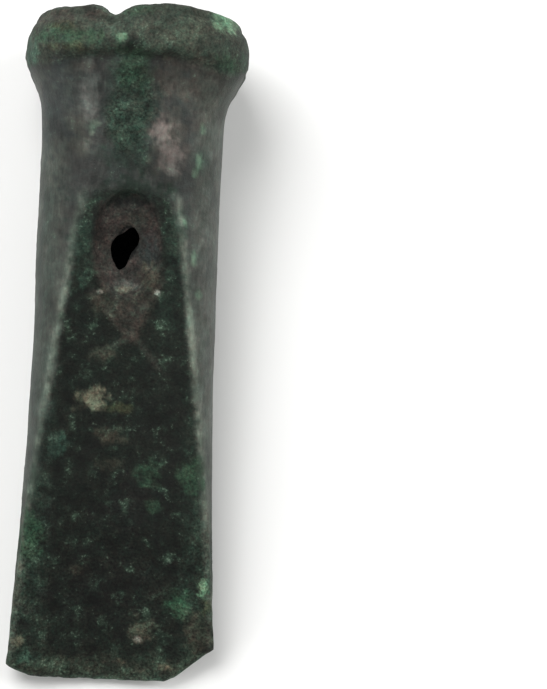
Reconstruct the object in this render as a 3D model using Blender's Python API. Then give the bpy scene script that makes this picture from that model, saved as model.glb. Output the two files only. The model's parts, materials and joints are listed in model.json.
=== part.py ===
"""Bronze gouge: one socketed casting with a collared mouth, arched facets and a hollow front.

It lies on its back, as the loose tool does: the pierced front looks up, the mouth is towards +Y
and the cutting edge towards -Y. The casting's own frame has x across the tool, y towards the
mouth and z out of the front; a station is the distance from the rim towards the cutting edge.
"""

from math import pi, radians, tan

import bmesh
import bpy
import numpy as np

# Driving dimensions in metres: the whole tool
TOOL_LENGTH = 0.1178
BODY_WIDTH = 0.0322
BODY_DEPTH = 0.0280
WAIST_STATION = 0.0540
EDGE_WIDTH = 0.0364
EDGE_THICKNESS = 0.0022

# The collar and the neck that flares into it
COLLAR_HEIGHT = 0.0094
COLLAR_CREST = 0.0068
COLLAR_PROUD = 0.0037
COLLAR_SAG = 0.0008
COLLAR_SHIFT = 0.0004
COLLAR_SLANT = radians(5.2)
NECK_FLARE_SIDE = 0.0036
NECK_FLARE_FRONT = 0.0008
NECK_FLARE_BACK = 0.0022
NECK_FLARE_LENGTH = 0.0064
NECK_DISH = 0.0005
SHOULDER_SPREAD = 0.0072
LIP_HEIGHT = 0.0018
RIM_NOTCH_DEPTH = 0.0024
RIM_DIP_DEPTH = 0.0014
RIM_LUMP_RISE = 0.0010
RIM_WEAR_DEPTH = 0.0005
RIM_SWELL_RISE = 0.0003

# The facets that thin both faces to the cutting edge
FACET_START = 0.0304
FRONT_HOLLOW = 0.0038
EDGE_SAG = 0.0030
EDGE_CROWN = 0.0005
NOSE_LENGTH = 0.0012
CORNER_WIDTH = 0.0080
CORNER_DROP = 0.0020
CHIP_WIDTH = 0.0086
CHIP_LENGTH = 0.0058
CHIP_REACH = 0.0140

# The socket for the haft
SOCKET_DEPTH = 0.0660
MOUTH_WALL = 0.0028
FLOOR_WALL = 0.0046
FLOOR_SIDE_WALL = 0.0086

# The dimple on the front, the hole broken through it and the shield-shaped relief below it
DIMPLE_STATION = 0.0405
DIMPLE_OFFSET = -0.0001
DIMPLE_WIDTH = 0.0118
DIMPLE_LENGTH = 0.0184
DIMPLE_WALL = 0.0013
HOLE_STATION = 0.0412
HOLE_OFFSET = -0.0006
HOLE_WIDTH = 0.0040
HOLE_LENGTH = 0.0074
HOLE_LEAN = radians(24)
SHIELD_TIP = 0.0572
SHIELD_TIP_OFFSET = 0.0014
SHIELD_WIDTH = 0.0142
SHIELD_RELIEF = 0.0004

# The worn flat on the collar's back that the loose tool rests on
FLAT_SPOT_DEPTH = 0.00035

# Shape exponents, with no unit
BODY_SQUARENESS = 2.6
RIDGE_SHARPNESS = 22
FRONT_TAPER = 0.86
BACK_TAPER = 1.12
EDGE_SPREAD = 1.5
HOLLOW_FADE = 3
COLLAR_TOP_ROUNDNESS = 3
COLLAR_FOOT_ROUNDNESS = 2.6
FLARE_FADE = 1.9
LIP_ROUNDNESS = 0.8
DIMPLE_STEEPNESS = 2.4
SHIELD_ROUNDNESS = 2.2
CORNER_ROUNDNESS = 3.4
CHIP_ROUNDNESS = 1.2

# Shares and slopes, with no unit
FACET_RUN_OUT = 0.3
EDGE_BLUNTNESS = 0.5
HOLE_WAVES = ((3, 0.12, -1.6), (4, 0.05, -0.1), (5, 0.05, -0.7))
LEAST_HEIGHT = 1e-7

FRONT = 1
BACK = -1

# The rim's dents and lumps: degrees round it from the right side over the front, half width, rise
RIM_FEATURES = (
    (100, 6.5, -RIM_NOTCH_DEPTH),
    (275, 14, -RIM_DIP_DEPTH),
    (224, 13, RIM_LUMP_RISE),
    (339, 7, RIM_LUMP_RISE),
    (124, 14, -RIM_WEAR_DEPTH),
    (74, 12, RIM_SWELL_RISE),
)

# Steps of the surface: around a quarter of the tool, and along it
SIDE_STEPS = 7
FACE_STEPS = 7
BLADE_STEPS = 24
DIMPLE_STEPS = 18
NECK_STEPS = 8
COLLAR_STEPS = 9
LIP_STEPS = 5
SOCKET_STEPS = 13
NOSE_STEPS = 3
HOLE_STEPS = 20


def smooth_step(value):
    """0 below 0, 1 above 1, and an S-shaped rise between."""
    value = np.clip(value, 0, 1)
    return value * value * (3 - 2 * value)


def blade_share(station):
    """0 where the facets start, 1 at the cutting edge."""
    return np.clip((station - FACET_START) / (TOOL_LENGTH - FACET_START), 0, 1)


def body_half_width(station):
    """Half the tool's width without its collar: straight to the waist, then spreading to the edge."""
    spread = np.clip((station - WAIST_STATION) / (TOOL_LENGTH - WAIST_STATION), 0, 1)
    return BODY_WIDTH / 2 + (EDGE_WIDTH - BODY_WIDTH) / 2 * spread**EDGE_SPREAD


def band_rise(station, flare):
    """How far the collar, or the flare of the neck below it, stands out from the body."""
    above = np.clip((COLLAR_CREST - station) / COLLAR_CREST, 0, 1)
    below = np.clip((station - COLLAR_CREST) / (COLLAR_HEIGHT - COLLAR_CREST), 0, 1)
    away = np.maximum(above**COLLAR_TOP_ROUNDNESS, below**COLLAR_FOOT_ROUNDNESS)
    collar = COLLAR_PROUD * (1 - away)
    fall = np.maximum(station - COLLAR_CREST, 0) / NECK_FLARE_LENGTH
    neck = flare * np.exp(-(fall**FLARE_FADE))
    return np.maximum(collar, neck * (station > COLLAR_CREST))


def outer_half_width(station):
    """Half the tool's width, collar and all."""
    return body_half_width(station) + band_rise(station, NECK_FLARE_SIDE)


def facet_height(share, station, face):
    """Height of a face's long facet above the tool's axis; the front one is hollow across."""
    top = BODY_DEPTH / 2 - (NECK_DISH if face == FRONT else 0)
    taper = FRONT_TAPER if face == FRONT else BACK_TAPER
    along = blade_share(station)
    height = EDGE_THICKNESS / 2 + (top - EDGE_THICKNESS / 2) * (1 - along**taper)
    height = height + FACET_RUN_OUT * np.maximum(FACET_START - station, 0)
    if face == FRONT:
        height = height + FRONT_HOLLOW * share**2 * (1 - along**HOLLOW_FADE)
    return height


def section_height(share, station, face):
    """Height of the rounded section without facets, dished between the neck's two shoulders."""
    flare = NECK_FLARE_FRONT if face == FRONT else NECK_FLARE_BACK
    flare = NECK_FLARE_SIDE + (flare - NECK_FLARE_SIDE) * (1 - share**2)
    depth = BODY_DEPTH / 2 + band_rise(station, flare)
    height = depth * (1 - share**BODY_SQUARENESS) ** (1 / BODY_SQUARENESS)
    if face == FRONT:
        across = np.clip(share * outer_half_width(station) / SHOULDER_SPREAD, 0, 1)
        along = smooth_step((station - COLLAR_HEIGHT) / (COLLAR_HEIGHT / 2))
        height = height - NECK_DISH * (1 - across**2) ** 2 * along
    return height


def lower_of(first, second):
    """The lower of two heights, with the ridge between them a little rounded."""
    first = np.maximum(first, LEAST_HEIGHT)
    return first * (1 + (first / second) ** RIDGE_SHARPNESS) ** (-1 / RIDGE_SHARPNESS)


def ridge_share(station, face):
    """Where the ridge between facet and side stands, as a share of the half width."""
    low = np.zeros_like(station)
    high = np.ones_like(station)
    for _ in range(30):
        middle = (low + high) / 2
        inside = section_height(middle, station, face) > facet_height(middle, station, face)
        low = np.where(inside, middle, low)
        high = np.where(inside, high, middle)
    return np.maximum(low, SHOULDER_SPREAD / outer_half_width(station))


def quarter_shares(station, face):
    """Places across a quarter, from the side to the middle, with one of them always on the ridge."""
    ridge = ridge_share(station, face)
    half_turn = 2 / BODY_SQUARENESS
    ridge_angle = np.arccos(ridge ** (1 / half_turn))
    side = np.cos(ridge_angle * np.arange(SIDE_STEPS) / SIDE_STEPS) ** half_turn
    middle = ridge * (1 - np.arange(FACE_STEPS + 1) / FACE_STEPS)
    return np.hstack([side, middle])


def ring_shares(station):
    """Places across the tool all round a section: right side, front, left side, back."""
    front = quarter_shares(station, FRONT)
    back = quarter_shares(station, BACK)
    return np.hstack([front, -front[:, -2::-1], -back[:, 1:], back[:, -2:0:-1]])


def ring_faces():
    """Which face each place of a ring is on; the two side places count as the front's."""
    quarter = SIDE_STEPS + FACE_STEPS
    return np.repeat([FRONT, BACK], [2 * quarter + 1, 2 * quarter - 1])


def dimple_share(x, station):
    """Distance from the dimple's middle, 1 at its border."""
    across = (x - DIMPLE_OFFSET) / (DIMPLE_WIDTH / 2)
    along = (station - DIMPLE_STATION) / (DIMPLE_LENGTH / 2)
    return np.sqrt(across**2 + along**2)


def dimple_depth(x, station):
    """How far the dimple sinks: steep at its border and leaving its own thin wall in the middle."""
    deepest = socket_wall(DIMPLE_STATION, FLOOR_WALL) - DIMPLE_WALL
    return deepest * (1 - np.clip(dimple_share(x, station), 0, 1) ** DIMPLE_STEEPNESS)


def shield_rise(x, station):
    """The low shield round the dimple: round at the top, and a V that leans to its tip below."""
    down = np.clip((station - DIMPLE_STATION) / (SHIELD_TIP - DIMPLE_STATION), 0, 1)
    middle = DIMPLE_OFFSET + (SHIELD_TIP_OFFSET - DIMPLE_OFFSET) * down
    half_width = SHIELD_WIDTH / 2 * (1 - down**SHIELD_ROUNDNESS)
    inside = smooth_step((half_width - np.abs(x - middle)) / (SHIELD_WIDTH / 8))
    return SHIELD_RELIEF * inside * smooth_step((station - FACET_START) / (DIMPLE_LENGTH / 4))


def nose_share(station):
    """1 along the tool, falling in a round to a blunt tip at the cutting edge."""
    along = np.clip((station - (TOOL_LENGTH - NOSE_LENGTH)) / NOSE_LENGTH, 0, 1)
    return np.sqrt(1 - (1 - EDGE_BLUNTNESS**2) * along**2)


def bend(share, station):
    """The gouge's curve: towards the edge both faces rise to the sides."""
    return EDGE_SAG * share**2 * blade_share(station) ** EDGE_SPREAD


def edge_drop(share):
    """How far the cutting edge falls short of square: crown, one worn corner and one broken off."""
    half = EDGE_WIDTH / 2
    x = share * half
    corner = np.clip((-x - (half - CORNER_WIDTH)) / CORNER_WIDTH, 0, 1)
    chip = np.clip((x - (half - CHIP_WIDTH)) / CHIP_WIDTH, 0, 1)
    worn = CORNER_DROP * corner**CORNER_ROUNDNESS
    return EDGE_CROWN * share**2 + worn + CHIP_LENGTH * chip**CHIP_ROUNDNESS


def rim_rise(share, face):
    """The rim's dents and lumps at each place round it."""
    turn = np.degrees(np.arccos(np.sign(share) * np.abs(share) ** (BODY_SQUARENESS / 2)))
    turn = np.where(face == FRONT, turn, 360 - turn)
    rise = np.zeros_like(share)
    for place, half_width, height in RIM_FEATURES:
        apart = (turn - place + 180) % 360 - 180
        rise = rise + height * np.exp(-((apart / half_width) ** 2))
    return rise


def placed(share, half_width, station, z, face):
    """Points in the casting's frame, with the collar's lean, sag and shift, its rim and the worn edge."""
    on_collar = 1 - smooth_step(station / COLLAR_HEIGHT - 1)
    lean = (tan(COLLAR_SLANT) * z - COLLAR_SAG * share**2) * on_collar
    rim = rim_rise(share, face) * (1 - smooth_step(station / COLLAR_CREST))
    near_edge = smooth_step((station - (TOOL_LENGTH - CHIP_REACH)) / CHIP_REACH)
    drop = edge_drop(share) * near_edge
    x = share * half_width + COLLAR_SHIFT * on_collar
    return np.stack([x, lean + rim + drop - station, z], axis=-1)


def outer_rings(station):
    """Rings of the outside, one for each station."""
    station = station[:, None]
    share = ring_shares(station)
    face = ring_faces()
    x = share * outer_half_width(station)
    across = np.abs(share)
    front = lower_of(section_height(across, station, FRONT), facet_height(across, station, FRONT))
    back = lower_of(section_height(across, station, BACK), facet_height(across, station, BACK))
    front = front + shield_rise(x, station) - dimple_depth(x, station)
    height = np.where(face == FRONT, front, -back) * nose_share(station)
    height[:, [0, 2 * (SIDE_STEPS + FACE_STEPS)]] = 0
    height = height + bend(across, station)
    return placed(share, outer_half_width(station), station, height, face)


def socket_wall(station, floor_wall):
    """Wall between socket and outside, thickening from the mouth to the floor."""
    return MOUTH_WALL + (floor_wall - MOUTH_WALL) * np.clip(station / SOCKET_DEPTH, 0, 1) ** 2


def socket_half_depth(station, face):
    """Half the socket's depth towards one face: the outside without collar, less the wall."""
    outside = lower_of(BODY_DEPTH / 2 + 0 * station, facet_height(0, station, face))
    return outside - socket_wall(station, FLOOR_WALL)


def socket_rings(station):
    """Rings of the socket, one for each station."""
    station = station[:, None]
    face = ring_faces()
    half_width = body_half_width(station) - socket_wall(station, FLOOR_SIDE_WALL)
    half_depth = np.where(
        face == FRONT, socket_half_depth(station, FRONT), -socket_half_depth(station, BACK)
    )
    share = ring_shares(np.zeros_like(station[:1]) + COLLAR_CREST)
    height = half_depth * (1 - np.abs(share) ** BODY_SQUARENESS) ** (1 / BODY_SQUARENESS)
    return placed(share, half_width, station, height, face)


def lip_rings():
    """Rings that carry the outside over the rounded rim into the socket."""
    turn = pi * np.arange(1, LIP_STEPS + 1)[:, None, None] / (LIP_STEPS + 1)
    inward = (1 - np.cos(turn)) / 2
    station = np.array([LIP_HEIGHT])
    rings = outer_rings(station) * (1 - inward) + socket_rings(station) * inward
    rings[..., 1] += LIP_HEIGHT * np.sin(turn[..., 0]) ** LIP_ROUNDNESS
    return rings


def casting_rings():
    """All rings from the cutting edge, up the outside, over the rim and down to the socket's floor."""
    dimple_end = DIMPLE_STATION + DIMPLE_LENGTH
    outside = np.concatenate(
        [
            np.linspace(TOOL_LENGTH, TOOL_LENGTH - NOSE_LENGTH, NOSE_STEPS, endpoint=False),
            np.linspace(TOOL_LENGTH - NOSE_LENGTH, dimple_end, BLADE_STEPS, endpoint=False),
            np.linspace(dimple_end, FACET_START, DIMPLE_STEPS, endpoint=False),
            np.linspace(FACET_START, COLLAR_HEIGHT, NECK_STEPS, endpoint=False),
            np.linspace(COLLAR_HEIGHT, LIP_HEIGHT, COLLAR_STEPS),
        ]
    )
    inside = np.linspace(LIP_HEIGHT, SOCKET_DEPTH, SOCKET_STEPS)
    return np.concatenate([outer_rings(outside), lip_rings(), socket_rings(inside)])


def casting_mesh(rings):
    """The closed surface through the rings, with a strip along the cutting edge and a flat socket floor."""
    rows, columns = rings.shape[:2]
    mesh = bmesh.new()
    corners = [[mesh.verts.new(point) for point in ring] for ring in rings]
    for lower, upper in zip(corners, corners[1:]):
        for column in range(columns):
            beside = (column + 1) % columns
            mesh.faces.new([lower[column], lower[beside], upper[beside], upper[column]])
    edge = corners[0]
    for column in range(columns // 2):
        strip = [edge[column + 1], edge[column], edge[-column], edge[-column - 1]]
        mesh.faces.new(list(dict.fromkeys(strip)))
    mesh.faces.new(corners[-1])
    bmesh.ops.recalc_face_normals(mesh, faces=mesh.faces)
    made = bpy.data.meshes.new("gouge")
    mesh.to_mesh(made)
    mesh.free()
    return made


def resting_pose(rings):
    """(tilt, location) that lay the tool on its collar's worn flat and its back, centred on the origin."""
    quarter = SIDE_STEPS + FACE_STEPS
    outside = rings[: -LIP_STEPS - SOCKET_STEPS, 3 * quarter]
    along = -outside[:, 1]
    depth = -outside[:, 2]
    lowest = depth.argmax()
    beyond = along > FACET_START
    fall = depth[lowest] - FLAT_SPOT_DEPTH - depth[beyond]
    tilt = np.arctan(fall / (along[beyond] - along[lowest])).min()
    points = rings.reshape(-1, 3)
    x = points[:, 0]
    y = np.cos(tilt) * points[:, 1] - np.sin(tilt) * points[:, 2]
    z_back = np.sin(tilt) * outside[beyond, 1] + np.cos(tilt) * outside[beyond, 2]
    return tilt, (-(x.min() + x.max()) / 2, -(y.min() + y.max()) / 2, -z_back.min())


def bronze(name, colour, roughness):
    """Corroded bronze: little bare metal shows through its patina."""
    material = bpy.data.materials.new(name)
    material.use_nodes = True
    shader = material.node_tree.nodes["Principled BSDF"]
    shader.inputs["Base Color"].default_value = (*colour, 1)
    shader.inputs["Roughness"].default_value = roughness
    shader.inputs["Metallic"].default_value = 0.3
    return material


def hole_cutter(collection):
    """A leaning, uneven prism through the wall at the dimple, ending in the socket."""
    turn = 2 * pi * np.arange(HOLE_STEPS) / HOLE_STEPS
    reach = 1 + sum(height * np.sin(count * turn + start) for count, height, start in HOLE_WAVES)
    across = HOLE_WIDTH / 2 * reach * np.cos(turn)
    along = HOLE_LENGTH / 2 * reach * np.sin(turn)
    x = HOLE_OFFSET + across * np.cos(HOLE_LEAN) + along * np.sin(HOLE_LEAN)
    y = -HOLE_STATION - across * np.sin(HOLE_LEAN) + along * np.cos(HOLE_LEAN)
    mesh = bmesh.new()
    outline = mesh.faces.new([mesh.verts.new((*place, 0)) for place in zip(x, y)])
    raised = bmesh.ops.extrude_face_region(mesh, geom=[outline])["geom"]
    moved = [item for item in raised if isinstance(item, bmesh.types.BMVert)]
    bmesh.ops.translate(mesh, verts=moved, vec=(0, 0, BODY_DEPTH))
    bmesh.ops.recalc_face_normals(mesh, faces=mesh.faces)
    data = bpy.data.meshes.new("hole_cutter")
    mesh.to_mesh(data)
    mesh.free()
    return cutter("hole_cutter", data, collection)


def floor_cutter(collection):
    """A block whose top is the plane that the tool rests on."""
    mesh = bmesh.new()
    bmesh.ops.create_cube(mesh, size=2 * TOOL_LENGTH)
    bmesh.ops.translate(mesh, verts=mesh.verts, vec=(0, 0, -TOOL_LENGTH))
    data = bpy.data.meshes.new("floor_cutter")
    mesh.to_mesh(data)
    mesh.free()
    return cutter("floor_cutter", data, collection)


def cutter(name, data, collection):
    """A helper that cuts and is never rendered."""
    made = bpy.data.objects.new(name, data)
    made.hide_render = True
    made.display_type = "WIRE"
    collection.objects.link(made)
    return made


def cut(piece, tool):
    """Subtract a cutter from a piece."""
    modifier = piece.modifiers.new(tool.name, "BOOLEAN")
    modifier.operation = "DIFFERENCE"
    modifier.solver = "EXACT"
    modifier.object = tool


def new_collection(name):
    """A collection in the scene."""
    made = bpy.data.collections.new(name)
    bpy.context.scene.collection.children.link(made)
    return made


def build():
    """Clear the scene and make the gouge."""
    for old in list(bpy.data.objects):
        bpy.data.objects.remove(old)
    parts = new_collection("bronze_gouge")
    cutters = new_collection("gouge_cutters")
    rings = casting_rings()
    tilt, location = resting_pose(rings)
    gouge = bpy.data.objects.new("gouge", casting_mesh(rings))
    gouge.data.materials.append(bronze("patinated_bronze", (0.045, 0.060, 0.048), 0.6))
    gouge.data.shade_smooth()
    gouge.data.set_sharp_from_angle(angle=radians(40))
    parts.objects.link(gouge)
    hole = hole_cutter(cutters)
    for item in (gouge, hole):
        item.location = location
        item.rotation_euler.x = tilt
    cut(gouge, hole)
    cut(gouge, floor_cutter(cutters))


build()
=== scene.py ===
# %% [markdown]
# Bronze gouge: a lesson in cells
#
# The real thing is one bronze casting, about 118 mm long, that lay in the ground for some three
# thousand years. A collar strengthens the socket's mouth, two arched facets thin the blade to a
# curved cutting edge, and corrosion has broken a hole through the thin wall at the dimple.
# The frame brings in the plain solid. It could be sculpted further by hand, but the cells below
# work out the same form again on a grid fine enough to carry crust, pits and worn ridges, so that
# every mark stays tied to a size. Then they give it its patina.

# %% The frame and its outer box
import json
from math import cos, pi, radians, sin, tan

import bpy
import numpy as np
from mathutils import Matrix, Vector


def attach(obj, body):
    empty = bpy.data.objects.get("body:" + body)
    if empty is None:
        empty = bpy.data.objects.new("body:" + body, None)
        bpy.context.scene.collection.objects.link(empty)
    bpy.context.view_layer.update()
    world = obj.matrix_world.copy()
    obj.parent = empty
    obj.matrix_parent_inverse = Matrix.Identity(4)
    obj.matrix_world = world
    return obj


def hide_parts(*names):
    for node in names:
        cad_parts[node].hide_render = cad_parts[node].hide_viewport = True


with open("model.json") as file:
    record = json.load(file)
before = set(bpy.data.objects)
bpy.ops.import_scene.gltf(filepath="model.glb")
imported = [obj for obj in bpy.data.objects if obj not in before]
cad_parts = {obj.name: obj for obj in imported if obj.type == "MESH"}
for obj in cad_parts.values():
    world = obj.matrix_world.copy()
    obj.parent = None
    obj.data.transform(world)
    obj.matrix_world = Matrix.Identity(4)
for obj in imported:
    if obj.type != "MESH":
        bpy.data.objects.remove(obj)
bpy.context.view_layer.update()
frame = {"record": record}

# %% [markdown]
# The casting's own frame
#
# The tool lies on its back, tipped a few degrees, because its collar is thicker than its blade.
# Its shape is easier to write in the casting's own frame: x across, y towards the mouth and z out
# of the front. The socket's floor is a flat face with a known place and direction, so it tells
# where that frame sits. A station is the distance from the rim towards the cutting edge. The
# collar is shifted a little to the right, so the box's middle isn't quite the casting's.

# %% The casting's frame, read from the socket's floor
mm = 0.001
SOCKET_DEPTH = 66.0 * mm
COLLAR_SHIFT = 0.4 * mm

floor_mount = next(m for m in frame["record"]["mounts"] if m["name"] == "socket_floor")
to_mouth = Vector(floor_mount["axis"]).normalized()
tilt = np.arctan2(to_mouth.z, to_mouth.y)
floor_middle = Vector((-COLLAR_SHIFT, floor_mount["pos_m"][1], floor_mount["pos_m"][2]))
rim_middle = floor_middle + SOCKET_DEPTH * to_mouth
casting_to_world = Matrix.Translation(rim_middle) @ Matrix.Rotation(tilt, 4, "X")
to_world = np.array(casting_to_world)
to_casting = np.linalg.inv(to_world)


def moved(points, matrix):
    """Points times the matrix's turn, plus its shift."""
    return points @ matrix[:3, :3].T + matrix[:3, 3]


print("The casting is tipped by", round(float(np.degrees(tilt)), 2), "degrees")

# %% [markdown]
# The driving sizes
#
# These are the solid's own sizes, repeated here because the fine surface has to be the same form.
# Everything below is worked out from them, so a reader can change one and see what follows.

# %% Sizes of the whole tool
TOOL_LENGTH = 117.8 * mm
BODY_WIDTH = 32.2 * mm
BODY_DEPTH = 28.0 * mm
WAIST_STATION = 54.0 * mm
EDGE_WIDTH = 36.4 * mm
EDGE_THICKNESS = 2.2 * mm
BODY_SQUARENESS = 2.6
EDGE_SPREAD = 1.5
FRONT = 1
BACK = -1


def smooth_step(value):
    """0 below 0, 1 above 1, and an S-shaped rise between: 3v squared less 2v cubed."""
    value = np.clip(value, 0, 1)
    return value * value * (3 - 2 * value)


def hump(distance, width):
    """A bell curve: 1 where the distance is 0, and nearly 0 at two widths."""
    return np.exp(-((distance / width) ** 2))


print("Tool length in mm:", TOOL_LENGTH / mm)

# %% [markdown]
# The outline
#
# Seen from the front the sides are straight to the waist and then spread to the edge. A collar
# rolls out at the mouth, and the neck flares up into it. The outline could be traced point by
# point. As a sum of a few curves over the station it needs no typed points and stays smooth.

# %% The outline's curves
COLLAR_HEIGHT = 9.4 * mm
COLLAR_CREST = 6.8 * mm
COLLAR_PROUD = 3.7 * mm
COLLAR_SAG = 0.8 * mm
COLLAR_TOP_ROUNDNESS = 3
COLLAR_FOOT_ROUNDNESS = 2.6
NECK_FLARE_SIDE = 3.6 * mm
NECK_FLARE_FRONT = 0.8 * mm
NECK_FLARE_BACK = 2.2 * mm
NECK_FLARE_LENGTH = 6.4 * mm
FLARE_FADE = 1.9


def body_half_width(station):
    """Half the width without the collar: a constant, plus a rise by a power of the way past the waist."""
    spread = np.clip((station - WAIST_STATION) / (TOOL_LENGTH - WAIST_STATION), 0, 1)
    return BODY_WIDTH / 2 + (EDGE_WIDTH - BODY_WIDTH) / 2 * spread**EDGE_SPREAD


def band_rise(station, flare):
    """The collar's swell, or the neck's fading flare where that is higher."""
    above = np.clip((COLLAR_CREST - station) / COLLAR_CREST, 0, 1)
    below = np.clip((station - COLLAR_CREST) / (COLLAR_HEIGHT - COLLAR_CREST), 0, 1)
    away = np.maximum(above**COLLAR_TOP_ROUNDNESS, below**COLLAR_FOOT_ROUNDNESS)
    fall = np.maximum(station - COLLAR_CREST, 0) / NECK_FLARE_LENGTH
    neck = flare * np.exp(-(fall**FLARE_FADE)) * (station > COLLAR_CREST)
    return np.maximum(COLLAR_PROUD * (1 - away), neck)


def outer_half_width(station):
    """Half the width, collar and all."""
    return body_half_width(station) + band_rise(station, NECK_FLARE_SIDE)


print("Widest at the collar, in mm:", round(2 * float(outer_half_width(COLLAR_CREST)) / mm, 1))

# %% [markdown]
# Section and facets
#
# Across the tool the neck is a rounded square. Below the arches two long facets cut it down to
# the edge, the front one hollow like a gutter, which makes the tool a gouge. Cutting them with a
# Boolean would leave knife-sharp ridges. Here the surface is the lower of section and facet, and
# a power mean of the two rounds the ridge between them a little, as wear and corrosion do.

# %% Heights of the section and of the facets
FACET_START = 30.4 * mm
FACET_RUN_OUT = 0.3
FRONT_TAPER = 0.86
BACK_TAPER = 1.12
FRONT_HOLLOW = 3.8 * mm
HOLLOW_FADE = 3
NECK_DISH = 0.5 * mm
SHOULDER_SPREAD = 7.2 * mm
RIDGE_SHARPNESS = 22
LEAST_HEIGHT = 1e-7


def blade_share(station):
    """0 where the facets start, 1 at the cutting edge."""
    return np.clip((station - FACET_START) / (TOOL_LENGTH - FACET_START), 0, 1)


def facet_height(share, station, face):
    """The facet: a line falling to the edge, higher by a square towards the sides on the front."""
    top = BODY_DEPTH / 2 - (NECK_DISH if face == FRONT else 0)
    taper = FRONT_TAPER if face == FRONT else BACK_TAPER
    along = blade_share(station)
    height = EDGE_THICKNESS / 2 + (top - EDGE_THICKNESS / 2) * (1 - along**taper)
    height = height + FACET_RUN_OUT * np.maximum(FACET_START - station, 0)
    if face == FRONT:
        height = height + FRONT_HOLLOW * share**2 * (1 - along**HOLLOW_FADE)
    return height


def section_height(share, station, face):
    """Depth times (1 less share to a power) to one over that power, a rounded square dished in front."""
    flare = NECK_FLARE_FRONT if face == FRONT else NECK_FLARE_BACK
    flare = NECK_FLARE_SIDE + (flare - NECK_FLARE_SIDE) * (1 - share**2)
    depth = BODY_DEPTH / 2 + band_rise(station, flare)
    height = depth * (1 - share**BODY_SQUARENESS) ** (1 / BODY_SQUARENESS)
    if face == FRONT:
        across = np.clip(share * outer_half_width(station) / SHOULDER_SPREAD, 0, 1)
        along = smooth_step((station - COLLAR_HEIGHT) / (COLLAR_HEIGHT / 2))
        height = height - NECK_DISH * (1 - across**2) ** 2 * along
    return height


def lower_of(first, second):
    """The lower of two heights as a power mean, which rounds the ridge between them."""
    first = np.maximum(first, LEAST_HEIGHT)
    return first * (1 + (first / second) ** RIDGE_SHARPNESS) ** (-1 / RIDGE_SHARPNESS)


waist_height = float(facet_height(0, WAIST_STATION, FRONT))
print("Front facet's height at the waist, in mm:", round(waist_height / mm, 2))

# %% [markdown]
# Columns that follow the ridges
#
# A ridge stays crisp only if a line of vertices runs along it. So the columns across each quarter
# of the tool aren't evenly spaced: some fill the side up to the ridge and the rest fill the
# facet, and the ridge itself is found at each station by halving an interval thirty times.

# %% The places across each ring
SIDE_COLUMNS = 24
FACE_COLUMNS = 40
QUARTER = SIDE_COLUMNS + FACE_COLUMNS
COLUMNS = 4 * QUARTER
HALVINGS = 30
FACES = np.repeat([FRONT, BACK], [2 * QUARTER + 1, 2 * QUARTER - 1])


def ridge_share(station, face):
    """Where section and facet are equally high, as a share of the half width."""
    low = np.zeros_like(station)
    high = np.ones_like(station)
    for _ in range(HALVINGS):
        middle = (low + high) / 2
        inside = section_height(middle, station, face) > facet_height(middle, station, face)
        low = np.where(inside, middle, low)
        high = np.where(inside, high, middle)
    return np.maximum(low, SHOULDER_SPREAD / outer_half_width(station))


def quarter_shares(station, face):
    """Shares from the side, 1, over the ridge to the middle, 0."""
    ridge = ridge_share(station, face)
    half_turn = 2 / BODY_SQUARENESS
    ridge_angle = np.arccos(ridge ** (1 / half_turn))
    side = np.cos(ridge_angle * np.arange(SIDE_COLUMNS) / SIDE_COLUMNS) ** half_turn
    middle = ridge * (1 - np.arange(FACE_COLUMNS + 1) / FACE_COLUMNS)
    return np.hstack([side, middle])


def ring_shares(station):
    """Shares all round a ring: right side, front, left side, back."""
    front = quarter_shares(station, FRONT)
    back = quarter_shares(station, BACK)
    return np.hstack([front, -front[:, -2::-1], -back[:, 1:], back[:, -2:0:-1]])


print("Columns round the tool:", COLUMNS)

# %% [markdown]
# Dimple and shield
#
# On the real tool an oval dimple was pressed or cast into the front over the socket, and a low
# V-shaped shield hangs below it. They could be pressed in with a sculpting brush. As heights added
# to the front, an oval bowl with a steep border and a plateau whose half width shrinks down to a
# leaning tip, they meet the dimple of the plain solid exactly.

# %% The dimple's and the shield's heights
MOUTH_WALL = 2.8 * mm
FLOOR_WALL = 4.6 * mm
FLOOR_SIDE_WALL = 8.6 * mm
DIMPLE_STATION = 40.5 * mm
DIMPLE_OFFSET = -0.1 * mm
DIMPLE_WIDTH = 11.8 * mm
DIMPLE_LENGTH = 18.4 * mm
DIMPLE_WALL = 1.3 * mm
DIMPLE_STEEPNESS = 2.4
SHIELD_TIP = 57.2 * mm
SHIELD_TIP_OFFSET = 1.4 * mm
SHIELD_WIDTH = 14.2 * mm
SHIELD_RELIEF = 0.4 * mm
SHIELD_ROUNDNESS = 2.2


def socket_wall(station, floor_wall):
    """The wall at the mouth, growing by a square to the wall at the floor."""
    return MOUTH_WALL + (floor_wall - MOUTH_WALL) * np.clip(station / SOCKET_DEPTH, 0, 1) ** 2


def dimple_share(x, station):
    """Distance from the dimple's middle, measured so that its oval border is 1."""
    across = (x - DIMPLE_OFFSET) / (DIMPLE_WIDTH / 2)
    along = (station - DIMPLE_STATION) / (DIMPLE_LENGTH / 2)
    return np.sqrt(across**2 + along**2)


def dimple_depth(x, station):
    """The deepest place times one less a power of the distance."""
    deepest = socket_wall(DIMPLE_STATION, FLOOR_WALL) - DIMPLE_WALL
    return deepest * (1 - np.clip(dimple_share(x, station), 0, 1) ** DIMPLE_STEEPNESS)


def shield_inside(x, station):
    """1 on the shield, 0 off it, with an S-shaped border an eighth of its width wide."""
    down = np.clip((station - DIMPLE_STATION) / (SHIELD_TIP - DIMPLE_STATION), 0, 1)
    middle = DIMPLE_OFFSET + (SHIELD_TIP_OFFSET - DIMPLE_OFFSET) * down
    half_width = SHIELD_WIDTH / 2 * (1 - down**SHIELD_ROUNDNESS)
    return smooth_step((half_width - np.abs(x - middle)) / (SHIELD_WIDTH / 8))


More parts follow.
